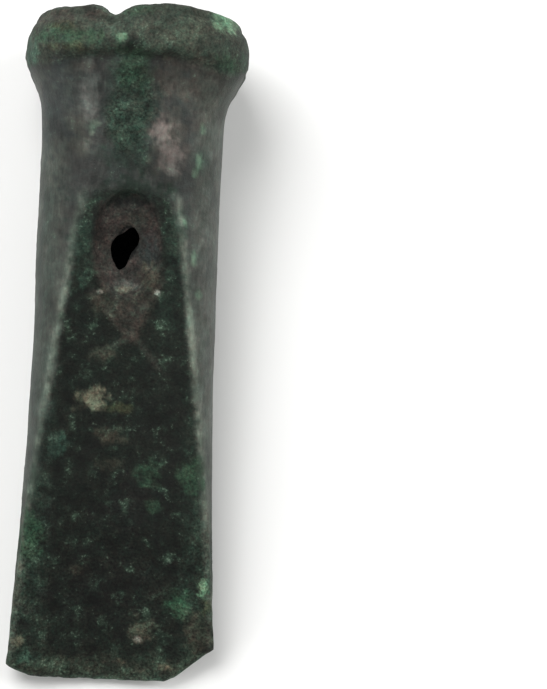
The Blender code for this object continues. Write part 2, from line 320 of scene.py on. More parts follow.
def shield_rise(x, station):
    """The shield's relief, rising from nothing where the facet starts."""
    rising_in = smooth_step((station - FACET_START) / (DIMPLE_LENGTH / 4))
    return SHIELD_RELIEF * shield_inside(x, station) * rising_in


print("Dimple in mm:", round(DIMPLE_WIDTH / mm, 1), "by", round(DIMPLE_LENGTH / mm, 1))

# %% [markdown]
# Cutting edge and rim
#
# Both ends are worn. The edge is slightly crowned and curved, its left corner is worn back and its
# right corner is broken off. The rim has a notch, dips and lumps. They move whole rings
# along the tool by a little, more at one place round it than at another.

# %% The worn ends
NOSE_LENGTH = 1.2 * mm
EDGE_BLUNTNESS = 0.5
EDGE_SAG = 3.0 * mm
EDGE_CROWN = 0.5 * mm
CORNER_WIDTH = 8.0 * mm
CORNER_DROP = 2.0 * mm
CORNER_ROUNDNESS = 3.4
CHIP_WIDTH = 8.6 * mm
CHIP_LENGTH = 5.8 * mm
CHIP_REACH = 14.0 * mm
CHIP_ROUNDNESS = 1.2
COLLAR_SLANT = radians(5.2)
RIM_NOTCH_DEPTH = 2.4 * mm
RIM_DIP_DEPTH = 1.4 * mm
RIM_LUMP_RISE = 1.0 * mm
RIM_WEAR_DEPTH = 0.5 * mm
RIM_SWELL_RISE = 0.3 * mm

# Degrees round the rim from the right side over the front, half width in degrees, rise
RIM_FEATURES = (
    (100, 6.5, -RIM_NOTCH_DEPTH),
    (275, 14, -RIM_DIP_DEPTH),
    (224, 13, RIM_LUMP_RISE),
    (339, 7, RIM_LUMP_RISE),
    (124, 14, -RIM_WEAR_DEPTH),
    (74, 12, RIM_SWELL_RISE),
)


def nose_share(station):
    """1 along the tool, falling in a round to the edge's bluntness at its end."""
    along = np.clip((station - (TOOL_LENGTH - NOSE_LENGTH)) / NOSE_LENGTH, 0, 1)
    return np.sqrt(1 - (1 - EDGE_BLUNTNESS**2) * along**2)


def bend(share, station):
    """The gouge's curve: towards the edge both faces rise by a square to the sides."""
    return EDGE_SAG * share**2 * blade_share(station) ** EDGE_SPREAD


def edge_drop(share):
    """How far the edge falls short of square: a crown, a worn corner and a broken one, as powers."""
    half = EDGE_WIDTH / 2
    x = share * half
    corner = np.clip((-x - (half - CORNER_WIDTH)) / CORNER_WIDTH, 0, 1)
    chip = np.clip((x - (half - CHIP_WIDTH)) / CHIP_WIDTH, 0, 1)
    worn = CORNER_DROP * corner**CORNER_ROUNDNESS
    return EDGE_CROWN * share**2 + worn + CHIP_LENGTH * chip**CHIP_ROUNDNESS


def rim_rise(share, face):
    """The sum of the rim's bell curves, by degrees round it."""
    turn = np.degrees(np.arccos(np.sign(share) * np.abs(share) ** (BODY_SQUARENESS / 2)))
    turn = np.where(face == FRONT, turn, 360 - turn)
    rise = np.zeros_like(share)
    for place, half_width, height in RIM_FEATURES:
        apart = (turn - place + 180) % 360 - 180
        rise = rise + height * hump(apart, half_width)
    return rise


def placed(share, half_width, station, z, face):
    """Grid points: the station becomes y, moved by the collar's lean and sag, the rim and the edge."""
    on_collar = 1 - smooth_step(station / COLLAR_HEIGHT - 1)
    lean = (tan(COLLAR_SLANT) * z - COLLAR_SAG * share**2) * on_collar
    rim = rim_rise(share, face) * (1 - smooth_step(station / COLLAR_CREST))
    drop = edge_drop(share) * smooth_step((station - (TOOL_LENGTH - CHIP_REACH)) / CHIP_REACH)
    x = share * half_width + COLLAR_SHIFT * on_collar
    return np.stack([x, lean + rim + drop - station, z], axis=-1)


print("The broken corner takes", round(CHIP_LENGTH / mm, 1), "mm off the edge")

# %% [markdown]
# Outside, lip and socket as one grid
#
# The casting is a sleeve that is closed at one end. A Solidify modifier would make its wall
# equally thick everywhere, and the real wall grows towards the socket's floor. So rings run from
# the cutting edge up the outside, turn over the rounded lip and go down the tapered socket, and
# one grid of rings and columns holds the whole wall. The collar's lower line hangs a little, at
# the sides in front and in the middle behind, and the rings near it are moved down with it.

# %% The droop of the collar's lower line
COLLAR_DROOP = 2.8 * mm
DROOP_LEAN = 0.4
BACK_DROOP = 2.8 * mm
DROOP_FADE = 10.0 * mm


def line_droop(share, front):
    """How far the line hangs: in front by the square of the share, behind most in the middle."""
    on_front = COLLAR_DROOP * (1 + DROOP_LEAN * share) * share**2 * (1 - share**8)
    return front * on_front + (1 - front) * BACK_DROOP * (1 - share**4)


def collar_droop(share, station, front):
    """The line's droop, growing from the collar's crest down to the line and fading below it."""
    on_collar = smooth_step((station - COLLAR_CREST) / (COLLAR_HEIGHT - COLLAR_CREST))
    on_neck = 1 - smooth_step((station - COLLAR_HEIGHT) / DROOP_FADE)
    return line_droop(share, front) * on_collar * on_neck


lowest_in_front = line_droop(np.linspace(-1, 1, 201), 1).max()
print("The line hangs in mm, in front:", round(lowest_in_front / mm, 1), "behind:", BACK_DROOP / mm)

# %% The rings of the casting
LIP_HEIGHT = 1.8 * mm
LIP_ROUNDNESS = 0.8
NOSE_ROWS = 6
BLADE_ROWS = 146
DIMPLE_ROWS = 70
NECK_ROWS = 52
COLLAR_ROWS = 26
LIP_ROWS = 12
SOCKET_ROWS = 44
SOCKET_CROWDING = 1.5


def outer_rings(station):
    """Outside rings: the lower of section and facet, shield and dimple added, then nose and bend."""
    station = station[:, None]
    share = ring_shares(station)
    x = share * outer_half_width(station)
    across = np.abs(share)
    front = lower_of(section_height(across, station, FRONT), facet_height(across, station, FRONT))
    back = lower_of(section_height(across, station, BACK), facet_height(across, station, BACK))
    front = front + shield_rise(x, station) - dimple_depth(x, station)
    height = np.where(FACES == FRONT, front, -back) * nose_share(station)
    height[:, [0, 2 * QUARTER]] = 0
    height = height + bend(across, station)
    grid = placed(share, outer_half_width(station), station, height, FACES)
    grid[..., 1] -= collar_droop(share, station, (FACES == FRONT) * 1.0)
    return grid


def socket_half_depth(station, face):
    """The outside without its collar, less the wall."""
    outside = lower_of(BODY_DEPTH / 2 + 0 * station, facet_height(0, station, face))
    return outside - socket_wall(station, FLOOR_WALL)


def socket_rings(station):
    """Socket rings: rounded squares between the walls."""
    station = station[:, None]
    half_width = body_half_width(station) - socket_wall(station, FLOOR_SIDE_WALL)
    in_front = socket_half_depth(station, FRONT)
    behind = socket_half_depth(station, BACK)
    half_depth = np.where(FACES == FRONT, in_front, -behind)
    share = ring_shares(np.full((1, 1), COLLAR_CREST))
    height = half_depth * (1 - np.abs(share) ** BODY_SQUARENESS) ** (1 / BODY_SQUARENESS)
    return placed(share, half_width, station, height, FACES)


def lip_rings():
    """Half a turn from outside to socket: a cosine carries the rings inward and a sine lifts them."""
    turn = pi * np.arange(1, LIP_ROWS + 1)[:, None, None] / (LIP_ROWS + 1)
    inward = (1 - np.cos(turn)) / 2
    station = np.array([LIP_HEIGHT])
    rings = outer_rings(station) * (1 - inward) + socket_rings(station) * inward
    rings[..., 1] += LIP_HEIGHT * np.sin(turn[..., 0]) ** LIP_ROUNDNESS
    return rings


print("Height of the lip in mm:", LIP_HEIGHT / mm)

# %% All rings from the cutting edge to the socket's floor
dimple_end = DIMPLE_STATION + DIMPLE_LENGTH / 2
outside_stations = np.concatenate([
    np.linspace(TOOL_LENGTH, TOOL_LENGTH - NOSE_LENGTH, NOSE_ROWS, endpoint=False),
    np.linspace(TOOL_LENGTH - NOSE_LENGTH, dimple_end, BLADE_ROWS, endpoint=False),
    np.linspace(dimple_end, FACET_START, DIMPLE_ROWS, endpoint=False),
    np.linspace(FACET_START, COLLAR_HEIGHT, NECK_ROWS, endpoint=False),
    np.linspace(COLLAR_HEIGHT, LIP_HEIGHT, COLLAR_ROWS),
])
socket_way = np.linspace(0, 1, SOCKET_ROWS) ** SOCKET_CROWDING
inside_stations = LIP_HEIGHT + (SOCKET_DEPTH - LIP_HEIGHT) * socket_way
rings = np.concatenate([outer_rings(outside_stations), lip_rings(), socket_rings(inside_stations)])
print("Rings:", len(rings), "of which outside:", len(outside_stations))

# %% [markdown]
# Noise made of soft lumps
#
# Corrosion is irregular at every size. Blender's own noise lives inside materials and modifiers,
# and here both the grid and the colours need its numbers. So a soft noise gives each corner of a
# lattice of cubes a number mixed from its whole-number place, and blends the eight corners round
# a point with an S-curve. The mix has no random state, so each run gives the same surface.

# %% Soft noise, layers of it, and nearest-seed distances
HASH_STEPS = (73856093, 19349663, 83492791, 2654435761)
HASH_MIX = 1274126177
WORD = 0xFFFFFFFF


def lattice_number(cells, seed):
    """A number from 0 to 1 for each whole-number cell, by multiplying, mixing and shifting its bits."""
    x_key, y_key, z_key = (cells[..., axis] * HASH_STEPS[axis] for axis in range(3))
    key = (x_key ^ y_key ^ z_key ^ (seed * HASH_STEPS[3])) & WORD
    key = ((key ^ (key >> 13)) * HASH_MIX) & WORD
    return ((key ^ (key >> 16)) & WORD) / WORD


def soft_noise(points, size, seed):
    """From -1 to 1: the eight lattice numbers round each point, blended by a quintic S-curve."""
    scaled = points / size
    cells = np.floor(scaled).astype(np.int64)
    part = scaled - cells
    blend = part**3 * (part * (6 * part - 15) + 10)
    total = 0
    for corner in np.ndindex(2, 2, 2):
        weight = np.where(corner, blend, 1 - blend).prod(axis=-1)
        total = total + weight * lattice_number(cells + corner, seed)
    return 2 * total - 1


def layered_noise(points, size, seed, layers=3):
    """Soft noise, plus the same at half the size and half the height, and so on."""
    total = sum(soft_noise(points, size / 2**k, seed + k) / 2**k for k in range(layers))
    return total / (2 - 2 ** (1 - layers))


def nearest_seed(points, size, seed):
    """Distance, in cell sizes, to the nearest of the seed points, one of which sits in each cell."""
    scaled = points / size
    cells = np.floor(scaled).astype(np.int64)
    nearest = np.full(points.shape[:-1], 9.0)
    for step in np.ndindex(3, 3, 3):
        cell = cells + step - 1
        place = cell + np.stack([lattice_number(cell, seed + axis) for axis in range(3)], axis=-1)
        nearest = np.minimum(nearest, ((scaled - place) ** 2).sum(axis=-1))
    return np.sqrt(nearest)


sample = layered_noise(rings[:, ::16], 5 * mm, 1)
print("Noise runs from", round(float(sample.min()), 2), "to", round(float(sample.max()), 2))

# %% [markdown]
# Zones
#
# Crust, bare metal and dark patina lie in different places, and the relief and the colours need
# the same map. It could be painted by hand, but then a change of size would leave it behind.
# Each zone is a number from 0 to 1 worked out from a point's place in the casting's frame, so it
# serves the grid now and the finished mesh later.

# %% Soft borders, and the way in from the ridges
RIDGE_STEPS = 400
ARCH_ROUNDING = 1.2 * mm
ARCH_SPREAD = 1.4 * mm
ARCH_REACH = 9.0 * mm
ARCH_MIDDLE = FACET_START + 3 * mm


def rising(value, start, run):
    """0 up to the start, 1 from a run further on, with an S-shaped rise between."""
    return smooth_step((value - start) / run)


def fading(value, end, run):
    """1 up to a run before the end, 0 from the end on, with an S-shaped fall between."""
    return smooth_step((end - value) / run)


def inside_facet(x, station, face):
    """Metres in from the ridges: a soft minimum of the ways to the side ridge and to the arch's top."""
    steps = np.linspace(0, TOOL_LENGTH, RIDGE_STEPS)[:, None]
    half = (ridge_share(steps, face) * outer_half_width(steps))[:, 0]
    to_side = np.interp(station, steps[:, 0], half) - np.abs(x)
    to_side = to_side + (face == FRONT) * ARCH_SPREAD * hump(station - ARCH_MIDDLE, ARCH_REACH)
    to_top = station - FACET_START
    return -ARCH_ROUNDING * np.logaddexp(-to_side / ARCH_ROUNDING, -to_top / ARCH_ROUNDING)


way_in = float(inside_facet(0 * mm, WAIST_STATION, FRONT))
print("From the ridge to the middle at the waist, in mm:", round(way_in / mm, 1))

# %% Where the socket and the neck's corroded patch are
ZONE_BLUR = 1.0 * mm
PATCH_CENTRE = (-0.4 * mm, 15.0 * mm)
PATCH_HALF_WIDTH = 4.8 * mm
PATCH_HALF_LENGTH = 13.0 * mm
PATCH_RAGGEDNESS = 0.45


def in_socket(x, station, z):
    """1 nearer to the socket than to the outside: in the rounded square halfway through the wall."""
    half_wall = socket_wall(station, FLOOR_WALL) / 2
    half_depth = lower_of(BODY_DEPTH / 2 + 0 * station, facet_height(0, station, FRONT))
    across = np.abs(x) / (body_half_width(station) - half_wall)
    deep = np.abs(z) / (half_depth - half_wall)
    in_section = across**BODY_SQUARENESS + deep**BODY_SQUARENESS < 1
    return (in_section & (station < SOCKET_DEPTH + 1 * mm)).astype(float)


def in_patch(x, station, drift):
    """1 on the corroded patch: an oval whose border a noise moves."""
    across = (x - PATCH_CENTRE[0]) / PATCH_HALF_WIDTH
    along = (station - PATCH_CENTRE[1]) / PATCH_HALF_LENGTH
    away = np.hypot(across, along) + PATCH_RAGGEDNESS * drift / ZONE_BLUR
    return 1 - smooth_step(1.4 * away - 0.7)


print("Corroded patch in mm:", 2 * PATCH_HALF_WIDTH / mm, "by", 2 * PATCH_HALF_LENGTH / mm)


# %% The map of zones
def zones_of(points):
    """Zone weights of points in the casting's frame."""
    x, y, z = np.moveaxis(points, -1, 0)
    station = -y
    share = np.clip(x / outer_half_width(station), -1, 1)
    lift = bend(np.clip(np.abs(x) / (EDGE_WIDTH / 2), 0, 1), station)
    front = smooth_step((z - lift) / (3 * mm) + 0.5)
    back = 1 - front
    drift = ZONE_BLUR * layered_noise(points, 3.5 * mm, 5)
    on_front = inside_facet(x, station, FRONT)
    on_back = inside_facet(x, station, BACK)
    below_arch = rising(station, FACET_START, 4 * mm)
    slanted = station - line_droop(share, front) + tan(COLLAR_SLANT) * z - COLLAR_SAG * share**2
    dimple_away = dimple_share(x, station) + 0.08 * drift / ZONE_BLUR
    return {
        "x": x,
        "station": station,
        "front": front,
        "back": back,
        "socket": in_socket(x, station, z),
        "collar": 1 - rising(slanted + 0.5 * drift, COLLAR_HEIGHT - ZONE_BLUR, 1.5 * ZONE_BLUR),
        "below_collar": slanted - COLLAR_HEIGHT,
        "front_facet": front * rising(on_front + 0.6 * drift, 0, 1.6 * ZONE_BLUR),
        "back_facet": back * rising(on_back + drift, 0, 2 * ZONE_BLUR),
        "front_ridge": front * hump(on_front, 0.6 * mm) * below_arch,
        "back_ridge": back * hump(on_back, 0.9 * mm) * below_arch,
        "patch": front * in_patch(x, station, drift),
        "dimple": front * (1 - rising(dimple_away, 0.9, 0.2)),
        "shield": front * shield_inside(x, station) * rising(station, DIMPLE_STATION, 3 * mm),
        "edge": rising(station, TOOL_LENGTH - 6 * mm, 5 * mm),
    }


grid_zones = zones_of(rings)
print("Zones:", ", ".join(grid_zones))

# %% [markdown]
# Relief
#
# Each kind of surface has its own relief: a slow waviness of the whole casting, lumpy crust on
# collar and neck, shallow pits on the back, beads along the ridges, rings in the dimple and the
# thin raised lines of the shield. Bump in the material alone would leave the outline smooth, so
# all that is coarser than the grid is height in metres, added up and laid off along the normals.

# %% Waves, crust and pits
# Size of the slow lumps, their height, and the seed of their noise
WAVES = ((11 * mm, 0.16 * mm, 11), (5 * mm, 0.06 * mm, 12))

# Heights and depths for each zone, in millimetres
CRUST_HEIGHTS = {"collar": 0.11, "front_facet": 0.05, "back": 0.08, "edge": 0.10}
LEAST_CRUST_HEIGHT = 0.03
PIT_DEPTHS = {"back": 0.10, "collar": 0.07, "patch": 0.14, "front_facet": 0.04}
PATCH_LUMP_HEIGHT = 0.18
PATCH_TOP_HEIGHT = 0.5

LUMP_SIZE = 2.4 * mm
FINE_LUMP_SIZE = 0.9 * mm
FINE_LUMP_SHARE = 0.6
PIT_SPACING = 1.9 * mm
PIT_WIDTH = 0.32
PATCH_LUMP_SIZE = 1.9 * mm
PATCH_TOP_LENGTH = 1.6 * mm


def weighted(zone, shares):
    """The sum of some zones, each times its share."""
    return sum(share * zone[name] for name, share in shares.items())


def waviness(points, zone):
    """Hand-made unevenness: slow lumps of the whole casting."""
    return sum(height * soft_noise(points, size, seed) for size, height, seed in WAVES)


def crust(points, zone):
    """Corrosion products: lumps of about 2 mm and 1 mm, as high as the zone says."""
    lumps = layered_noise(points, LUMP_SIZE, 21)
    lumps = lumps + FINE_LUMP_SHARE * soft_noise(points, FINE_LUMP_SIZE, 25)
    return (LEAST_CRUST_HEIGHT + weighted(zone, CRUST_HEIGHTS)) * mm * lumps


def pitting(points, zone):
    """Pits: hollows round seed points, on the back, the collar and the neck's corroded patch."""
    hollows = hump(nearest_seed(points, PIT_SPACING, 31), PIT_WIDTH)
    return -weighted(zone, PIT_DEPTHS) * mm * hollows


def patch_lumps(points, zone):
    """The corroded strip on the neck's front: rough lumps, highest right under the collar."""
    lumps = PATCH_LUMP_HEIGHT * layered_noise(points, PATCH_LUMP_SIZE, 41)
    under_collar = PATCH_TOP_HEIGHT * hump(zone["station"] - COLLAR_HEIGHT, PATCH_TOP_LENGTH)
    return zone["patch"] * mm * (lumps + under_collar)


deepest_pit = -float(pitting(rings, grid_zones).min())
print("Deepest pit in mm:", round(deepest_pit / mm, 2))

# %% Ridges, dimple and shield
# Two ends as place across and station, the line's width, its height
SHIELD_LINES = (
    ((-5.7 * mm, 49.6 * mm), (1.2 * mm, 57.2 * mm), 0.7 * mm, 0.20 * mm),
    ((6.3 * mm, 47.3 * mm), (1.6 * mm, 56.7 * mm), 0.7 * mm, 0.24 * mm),
    ((1.0 * mm, 56.6 * mm), (-3.7 * mm, 60.2 * mm), 0.6 * mm, 0.10 * mm),
    ((1.6 * mm, 56.6 * mm), (6.1 * mm, 62.0 * mm), 0.6 * mm, 0.12 * mm),
)
BEAD_HEIGHTS = {"front_ridge": 0.20, "back_ridge": 0.12}
BEAD_LENGTH = 2.2 * mm
RING_HEIGHT = 0.15 * mm
RING_COUNT = 2.4
RING_BORDER = 1.1
LIP_RISE = 0.26 * mm
LIP_PLACE = 1.08
LIP_WIDTH = 0.09

# At the dimple's top: place and width in shares of the way to its border, height in millimetres
TOP_STEPS = ((1.12, 0.14, 0.22), (0.84, 0.13, -0.65))


def ridge_beads(points, zone):
    """Worn ridges: a low bead, broken up along its length."""
    broken = 0.6 + 0.4 * soft_noise(points, BEAD_LENGTH, 51)
    return mm * broken * weighted(zone, BEAD_HEIGHTS)


def dimple_rings(points, zone):
    """Rings as a cosine of the distance, a raised lip below, and a groove and a step at the top."""
    share = dimple_share(zone["x"], zone["station"])
    waves = np.cos(2 * pi * RING_COUNT * share) * (1 - smooth_step(share - 0.1))
    below = smooth_step((zone["station"] - DIMPLE_STATION) / DIMPLE_LENGTH + 0.5)
    lip = LIP_RISE * hump(share - LIP_PLACE, LIP_WIDTH) * below
    steps = sum(height * hump(share - place, width) for place, width, height in TOP_STEPS)
    steps = steps * mm * (1 - below) ** 2
    return zone["front"] * (RING_HEIGHT * waves * (share < RING_BORDER) + lip + steps)


def line_rise(zone, start, end, width):
    """A raised line: a bell curve of the distance from the nearest point between its two ends."""
    x, station = zone["x"] - start[0], zone["station"] - start[1]
    across, along = end[0] - start[0], end[1] - start[1]
    share = np.clip((x * across + station * along) / (across**2 + along**2), 0, 1)
    return hump(np.hypot(x - share * across, station - share * along), width)


def shield_lines(points, zone):
    """The shield's raised borders and their faint crossing below its tip."""
    lines = (height * line_rise(zone, start, end, width) for start, end, width, height in SHIELD_LINES)
    return zone["front"] * sum(lines)


print("Raised lines round the shield:", len(SHIELD_LINES))


# %% The sum of the relief
def total_relief(points, zone):
    """The sum of all the heights, with the socket kept nearly smooth."""
    kinds = (waviness, crust, pitting, patch_lumps, ridge_beads, dimple_rings, shield_lines)
    outside = sum(kind(points, zone) for kind in kinds)
    inside = 0.10 * mm * layered_noise(points, 3 * mm, 61)
    return np.where(zone["socket"] > 0, inside, outside)


relief = total_relief(rings, grid_zones)
lowest, highest = float(relief.min()) / mm, float(relief.max()) / mm
print("Relief in mm, lowest and highest:", round(lowest, 2), round(highest, 2))

# %% [markdown]
# Laying the relief on the surface
#
# The normal of a grid is the cross product of its two directions, each taken as the difference
# between the neighbours on either side. Columns wrap round the tool, rows end at its two ends.
# A Displace modifier would push the mesh along its normals too, but it reads a texture, and these
# heights are numbers already. The worn edge is nibbled as well: noise moves its rings along the
# tool, most at the break.

# %% Normals of the grid, and the rough surface
NIBBLE = 0.18 * mm
NIBBLE_REACH = 4.0 * mm


def grid_normals(grid):
    """Row direction times column direction, as unit vectors."""
    along = np.gradient(grid, axis=0)
    around = np.roll(grid, -1, axis=1) - np.roll(grid, 1, axis=1)
    normal = np.cross(along, around)
    return normal / np.maximum(np.linalg.norm(normal, axis=-1, keepdims=True), LEAST_HEIGHT**2)


def nibbled(grid):
    """How far the edge is eaten back: noise across the tool, fading away from the edge."""
    x, y = grid[..., 0], grid[..., 1]
    from_edge = TOOL_LENGTH + y
    broken = rising(x, EDGE_WIDTH / 2 - CHIP_WIDTH, CHIP_WIDTH)
    near_break = fading(from_edge, CHIP_LENGTH + NIBBLE_REACH, NIBBLE_REACH)
    near = np.maximum(fading(from_edge, NIBBLE_REACH, NIBBLE_REACH), broken * near_break)
    across = np.stack([x, 0 * x, 0 * x], axis=-1)
    return NIBBLE * near * (1 + broken) * layered_noise(across, 2.6 * mm, 62, 4)


rough_rings = rings + relief[..., None] * grid_normals(rings)
rough_rings[..., 1] += nibbled(rings)
print("Rough surface:", rough_rings.shape[0] * rough_rings.shape[1], "vertices")

# %% [markdown]
# From grid to mesh
#
# The sleeve is open at two places: along the cutting edge, where front and back rows face each
# other, and at the socket's floor. A strip of a few rows rounds the edge, and shrinking rings
# with a point in the middle close the floor. Then every edge has exactly two faces. Adding face
# by face is slow in Python, so the mesh is filled by whole arrays at once. Where the casting
# touches the floor, its heights pass through a soft maximum with 0, so that nothing dips below.

# %% The quads of the sleeve
def sleeve_quads(table):
    """Quads between neighbouring rows and columns, wrapped round, facing outwards."""
    beside = np.roll(table, -1, axis=1)
    return np.stack([table[:-1], table[1:], beside[1:], beside[:-1]], axis=-1).reshape(-1, 4)


table = np.arange(rough_rings.shape[0] * COLUMNS).reshape(-1, COLUMNS)
outer_quads = sleeve_quads(table)
print("Quads of the sleeve:", len(outer_quads))

# %% The strip over the cutting edge
EDGE_ROWS = 4
EDGE_BULGE = 0.28 * mm


def edge_strip(ring, first_new):
    """Rows between the edge's front and back, bulging by a sine, and the quads that join them."""
    front = np.arange(2 * QUARTER + 1)
    back = -front % COLUMNS
    share = np.arange(1, EDGE_ROWS)[:, None, None] / EDGE_ROWS
    between = ring[front[1:-1]] * (1 - share) + ring[back[1:-1]] * share
    between[..., 1] -= EDGE_BULGE * np.sin(pi * share[..., 0])
    new = first_new + np.arange(between[..., 0].size).reshape(between.shape[:2])
    ends = np.repeat(front[[0, -1]][None], EDGE_ROWS - 1, axis=0)
    table = np.vstack([front, np.hstack([ends[:, :1], new, ends[:, 1:]]), back])
    quads = np.stack([table[:-1, :-1], table[:-1, 1:], table[1:, 1:], table[1:, :-1]], axis=-1)
    return between.reshape(-1, 3), quads.reshape(-1, 4)


def without_doubles(quads):
    """Quads whose ends meet at one vertex become triangles."""
    left = quads[quads[:, 0] == quads[:, 3]][:, :3]
    right = quads[quads[:, 1] == quads[:, 2]][:, [0, 1, 3]]
    whole = quads[(quads[:, 0] != quads[:, 3]) & (quads[:, 1] != quads[:, 2])]
    return whole, np.vstack([left, right])


edge_points, edge_quads = edge_strip(rough_rings[0], table.size)
edge_quads, edge_triangles = without_doubles(edge_quads)
print("Faces over the edge:", len(edge_quads) + len(edge_triangles))

# %% The floor of the socket
FLOOR_ROWS = 6


def floor_fan(ring, ring_table, first_new):
    """Rings that shrink to the floor's middle, and one point there."""
    middle = ring.mean(axis=0)
    share = 1 - np.arange(1, FLOOR_ROWS)[:, None, None] / FLOOR_ROWS
    shrunk = middle + (ring - middle) * share
    new = first_new + np.arange(shrunk[..., 0].size).reshape(shrunk.shape[:2])
    quads = sleeve_quads(np.vstack([ring_table, new]))
    last = new[-1]
    top = first_new + new.size
    fan = np.stack([last, np.full(COLUMNS, top), np.roll(last, -1)], axis=-1)
    return np.vstack([shrunk.reshape(-1, 3), middle]), quads, fan


first_floor_vertex = table.size + len(edge_points)
floor_points, floor_quads, floor_triangles = floor_fan(rough_rings[-1], table[-1], first_floor_vertex)
print("Faces of the floor:", len(floor_quads) + len(floor_triangles))


# %% A mesh from whole arrays, and an object for it
def filled_mesh(name, points, quads, triangles):
    """A mesh filled by whole arrays: vertices, then face corners, then where each face starts."""
    mesh = bpy.data.meshes.new(name)
    corners = np.concatenate([quads.ravel(), triangles.ravel()])
    sizes = np.repeat([4, 3], [len(quads), len(triangles)])
    mesh.vertices.add(len(points))
    mesh.loops.add(len(corners))
    mesh.polygons.add(len(sizes))
    mesh.vertices.foreach_set("co", points.astype(np.float32).ravel())
    mesh.loops.foreach_set("vertex_index", corners.astype(np.int32))
    mesh.polygons.foreach_set("loop_start", (np.cumsum(sizes) - sizes).astype(np.int32))
    mesh.update(calc_edges=True)
    mesh.validate()
    return mesh


def linked(name, data):
    """A new object with that data, linked to the scene."""
    made = bpy.data.objects.new(name, data)
    bpy.context.scene.collection.objects.link(made)
    return made


def open_edges(mesh):
    """How many edges don't have exactly two faces."""
    edges = np.empty(len(mesh.loops), np.int32)
    mesh.loops.foreach_get("edge_index", edges)
    return int((np.bincount(edges, minlength=len(mesh.edges)) != 2).sum())


every_point = np.vstack([rough_rings.reshape(-1, 3), edge_points, floor_points])
print("Vertices:", len(every_point))

# %% The casting's mesh and object
REST_SOFTNESS = 0.12 * mm

casting_points = moved(every_point, to_world)
casting_points[:, 2] = REST_SOFTNESS * np.logaddexp(0, casting_points[:, 2] / REST_SOFTNESS)
casting_mesh = filled_mesh(
    "gouge_casting",
    casting_points,
    np.vstack([outer_quads, edge_quads, floor_quads]),
    np.vstack([edge_triangles, floor_triangles]),
)
casting = linked("gouge_casting", casting_mesh)
print("Faces:", len(casting_mesh.polygons), "open edges:", open_edges(casting_mesh))

# %% [markdown]
# The hole through the dimple
#
# Corrosion ate the thin wall away, so the hole's border is ragged and its wall rough. Leaving
# faces out of the grid would give the hole a stepped border and no wall. So a tall plug with the
# hole's outline, uneven from row to row, is taken from the casting by an exact Boolean, and then
# removed.

# %% The plug's rings
HOLE_STATION = 41.2 * mm
HOLE_OFFSET = -0.6 * mm
HOLE_WIDTH = 4.0 * mm
HOLE_LENGTH = 7.4 * mm
HOLE_LEAN = radians(24)
PLUG_COLUMNS = 72
PLUG_ROWS = 28
PLUG_TOP = 16.0 * mm
PLUG_RAGGEDNESS = 0.16 * mm

# How many waves go round the hole, how high they are as a share of its reach, where they start
HOLE_WAVES = ((3, 0.12, -1.6), (4, 0.05, -0.1), (5, 0.05, -0.7))


def plug_rings():
    """An oval with three, four and five slow waves, leaning, repeated upwards and roughened."""
    turn = 2 * pi * np.arange(PLUG_COLUMNS) / PLUG_COLUMNS
    reach = 1 + sum(height * np.sin(count * turn + start) for count, height, start in HOLE_WAVES)
    across = HOLE_WIDTH / 2 * reach * np.cos(turn)
    along = HOLE_LENGTH / 2 * reach * np.sin(turn)
    x = HOLE_OFFSET + across * cos(HOLE_LEAN) + along * sin(HOLE_LEAN)
    y = -HOLE_STATION - across * sin(HOLE_LEAN) + along * cos(HOLE_LEAN)
    z = PLUG_TOP * np.linspace(0, 1, PLUG_ROWS)[:, None] + 0 * turn
    grid = np.stack([x + 0 * z, y + 0 * z, z], axis=-1)
    outward = np.stack([np.cos(turn), np.sin(turn), 0 * turn], axis=-1)
    ragged = layered_noise(grid, 0.9 * mm, 71)
    return grid + PLUG_RAGGEDNESS * ragged[..., None] * outward


print("Hole in mm:", HOLE_WIDTH / mm, "by", HOLE_LENGTH / mm)


# %% The plug and the cut
def plug_object():
    """The plug's sleeve, with a point in the middle of each end."""
    grid = plug_rings()
    table = np.arange(PLUG_ROWS * PLUG_COLUMNS).reshape(PLUG_ROWS, PLUG_COLUMNS)
    beside = np.roll(table, -1, axis=1)
    quads = np.stack([table[:-1], beside[:-1], beside[1:], table[1:]], axis=-1).reshape(-1, 4)
    low, high = table.size, table.size + 1
    bottom = np.stack([beside[0], table[0], np.full(PLUG_COLUMNS, low)], axis=-1)
    top = np.stack([table[-1], beside[-1], np.full(PLUG_COLUMNS, high)], axis=-1)
    points = np.vstack([grid.reshape(-1, 3), grid[0].mean(axis=0), grid[-1].mean(axis=0)])
    mesh = filled_mesh("hole_plug", moved(points, to_world), quads, np.vstack([bottom, top]))
    return linked("hole_plug", mesh)


def cut_away(piece, tool):
    """The piece's mesh becomes the exact difference, and the tool goes."""
    modifier = piece.modifiers.new("hole", "BOOLEAN")
    modifier.operation = "DIFFERENCE"
    modifier.solver = "EXACT"
    modifier.object = tool
    graph = bpy.context.evaluated_depsgraph_get()
    result = bpy.data.meshes.new_from_object(piece.evaluated_get(graph))
    piece.modifiers.clear()
    old = piece.data
    piece.data = result
    bpy.data.meshes.remove(old)
    bpy.data.objects.remove(tool)
    return result


casting_mesh = cut_away(casting, plug_object())
casting_mesh.shade_smooth()
casting_mesh.calc_loop_triangles()
print("Triangles:", len(casting_mesh.loop_triangles), "open edges:", open_edges(casting_mesh))

# %% [markdown]
# Tones of the patina
#
# Three thousand years in the ground left a dark, nearly black patina in the hollow of the blade,
# green crust on the back and the collar, and smooth grey-brown metal where the neck was rubbed.
# An image texture would have to be painted by hand. Here every zone blends its own tone into a
# colour attribute. Marks that catch the eye, such as the pale spot on the blade, lie over the
# zones as soft ragged ovals. Some colour is painted light and shade: painted shade in the dimple,
# inside the socket and along one ridge of the back, a painted shadow under the collar, painted
# highlights on the neck's shoulders and the front ridges, partly over worn metal, and a few
# painted glints. Two more attributes say how much green crust and how much polish a place has.
# The material breaks all of it up into mottles.

# %% From screen colours to tones
TONE_DEPTH = 0.62


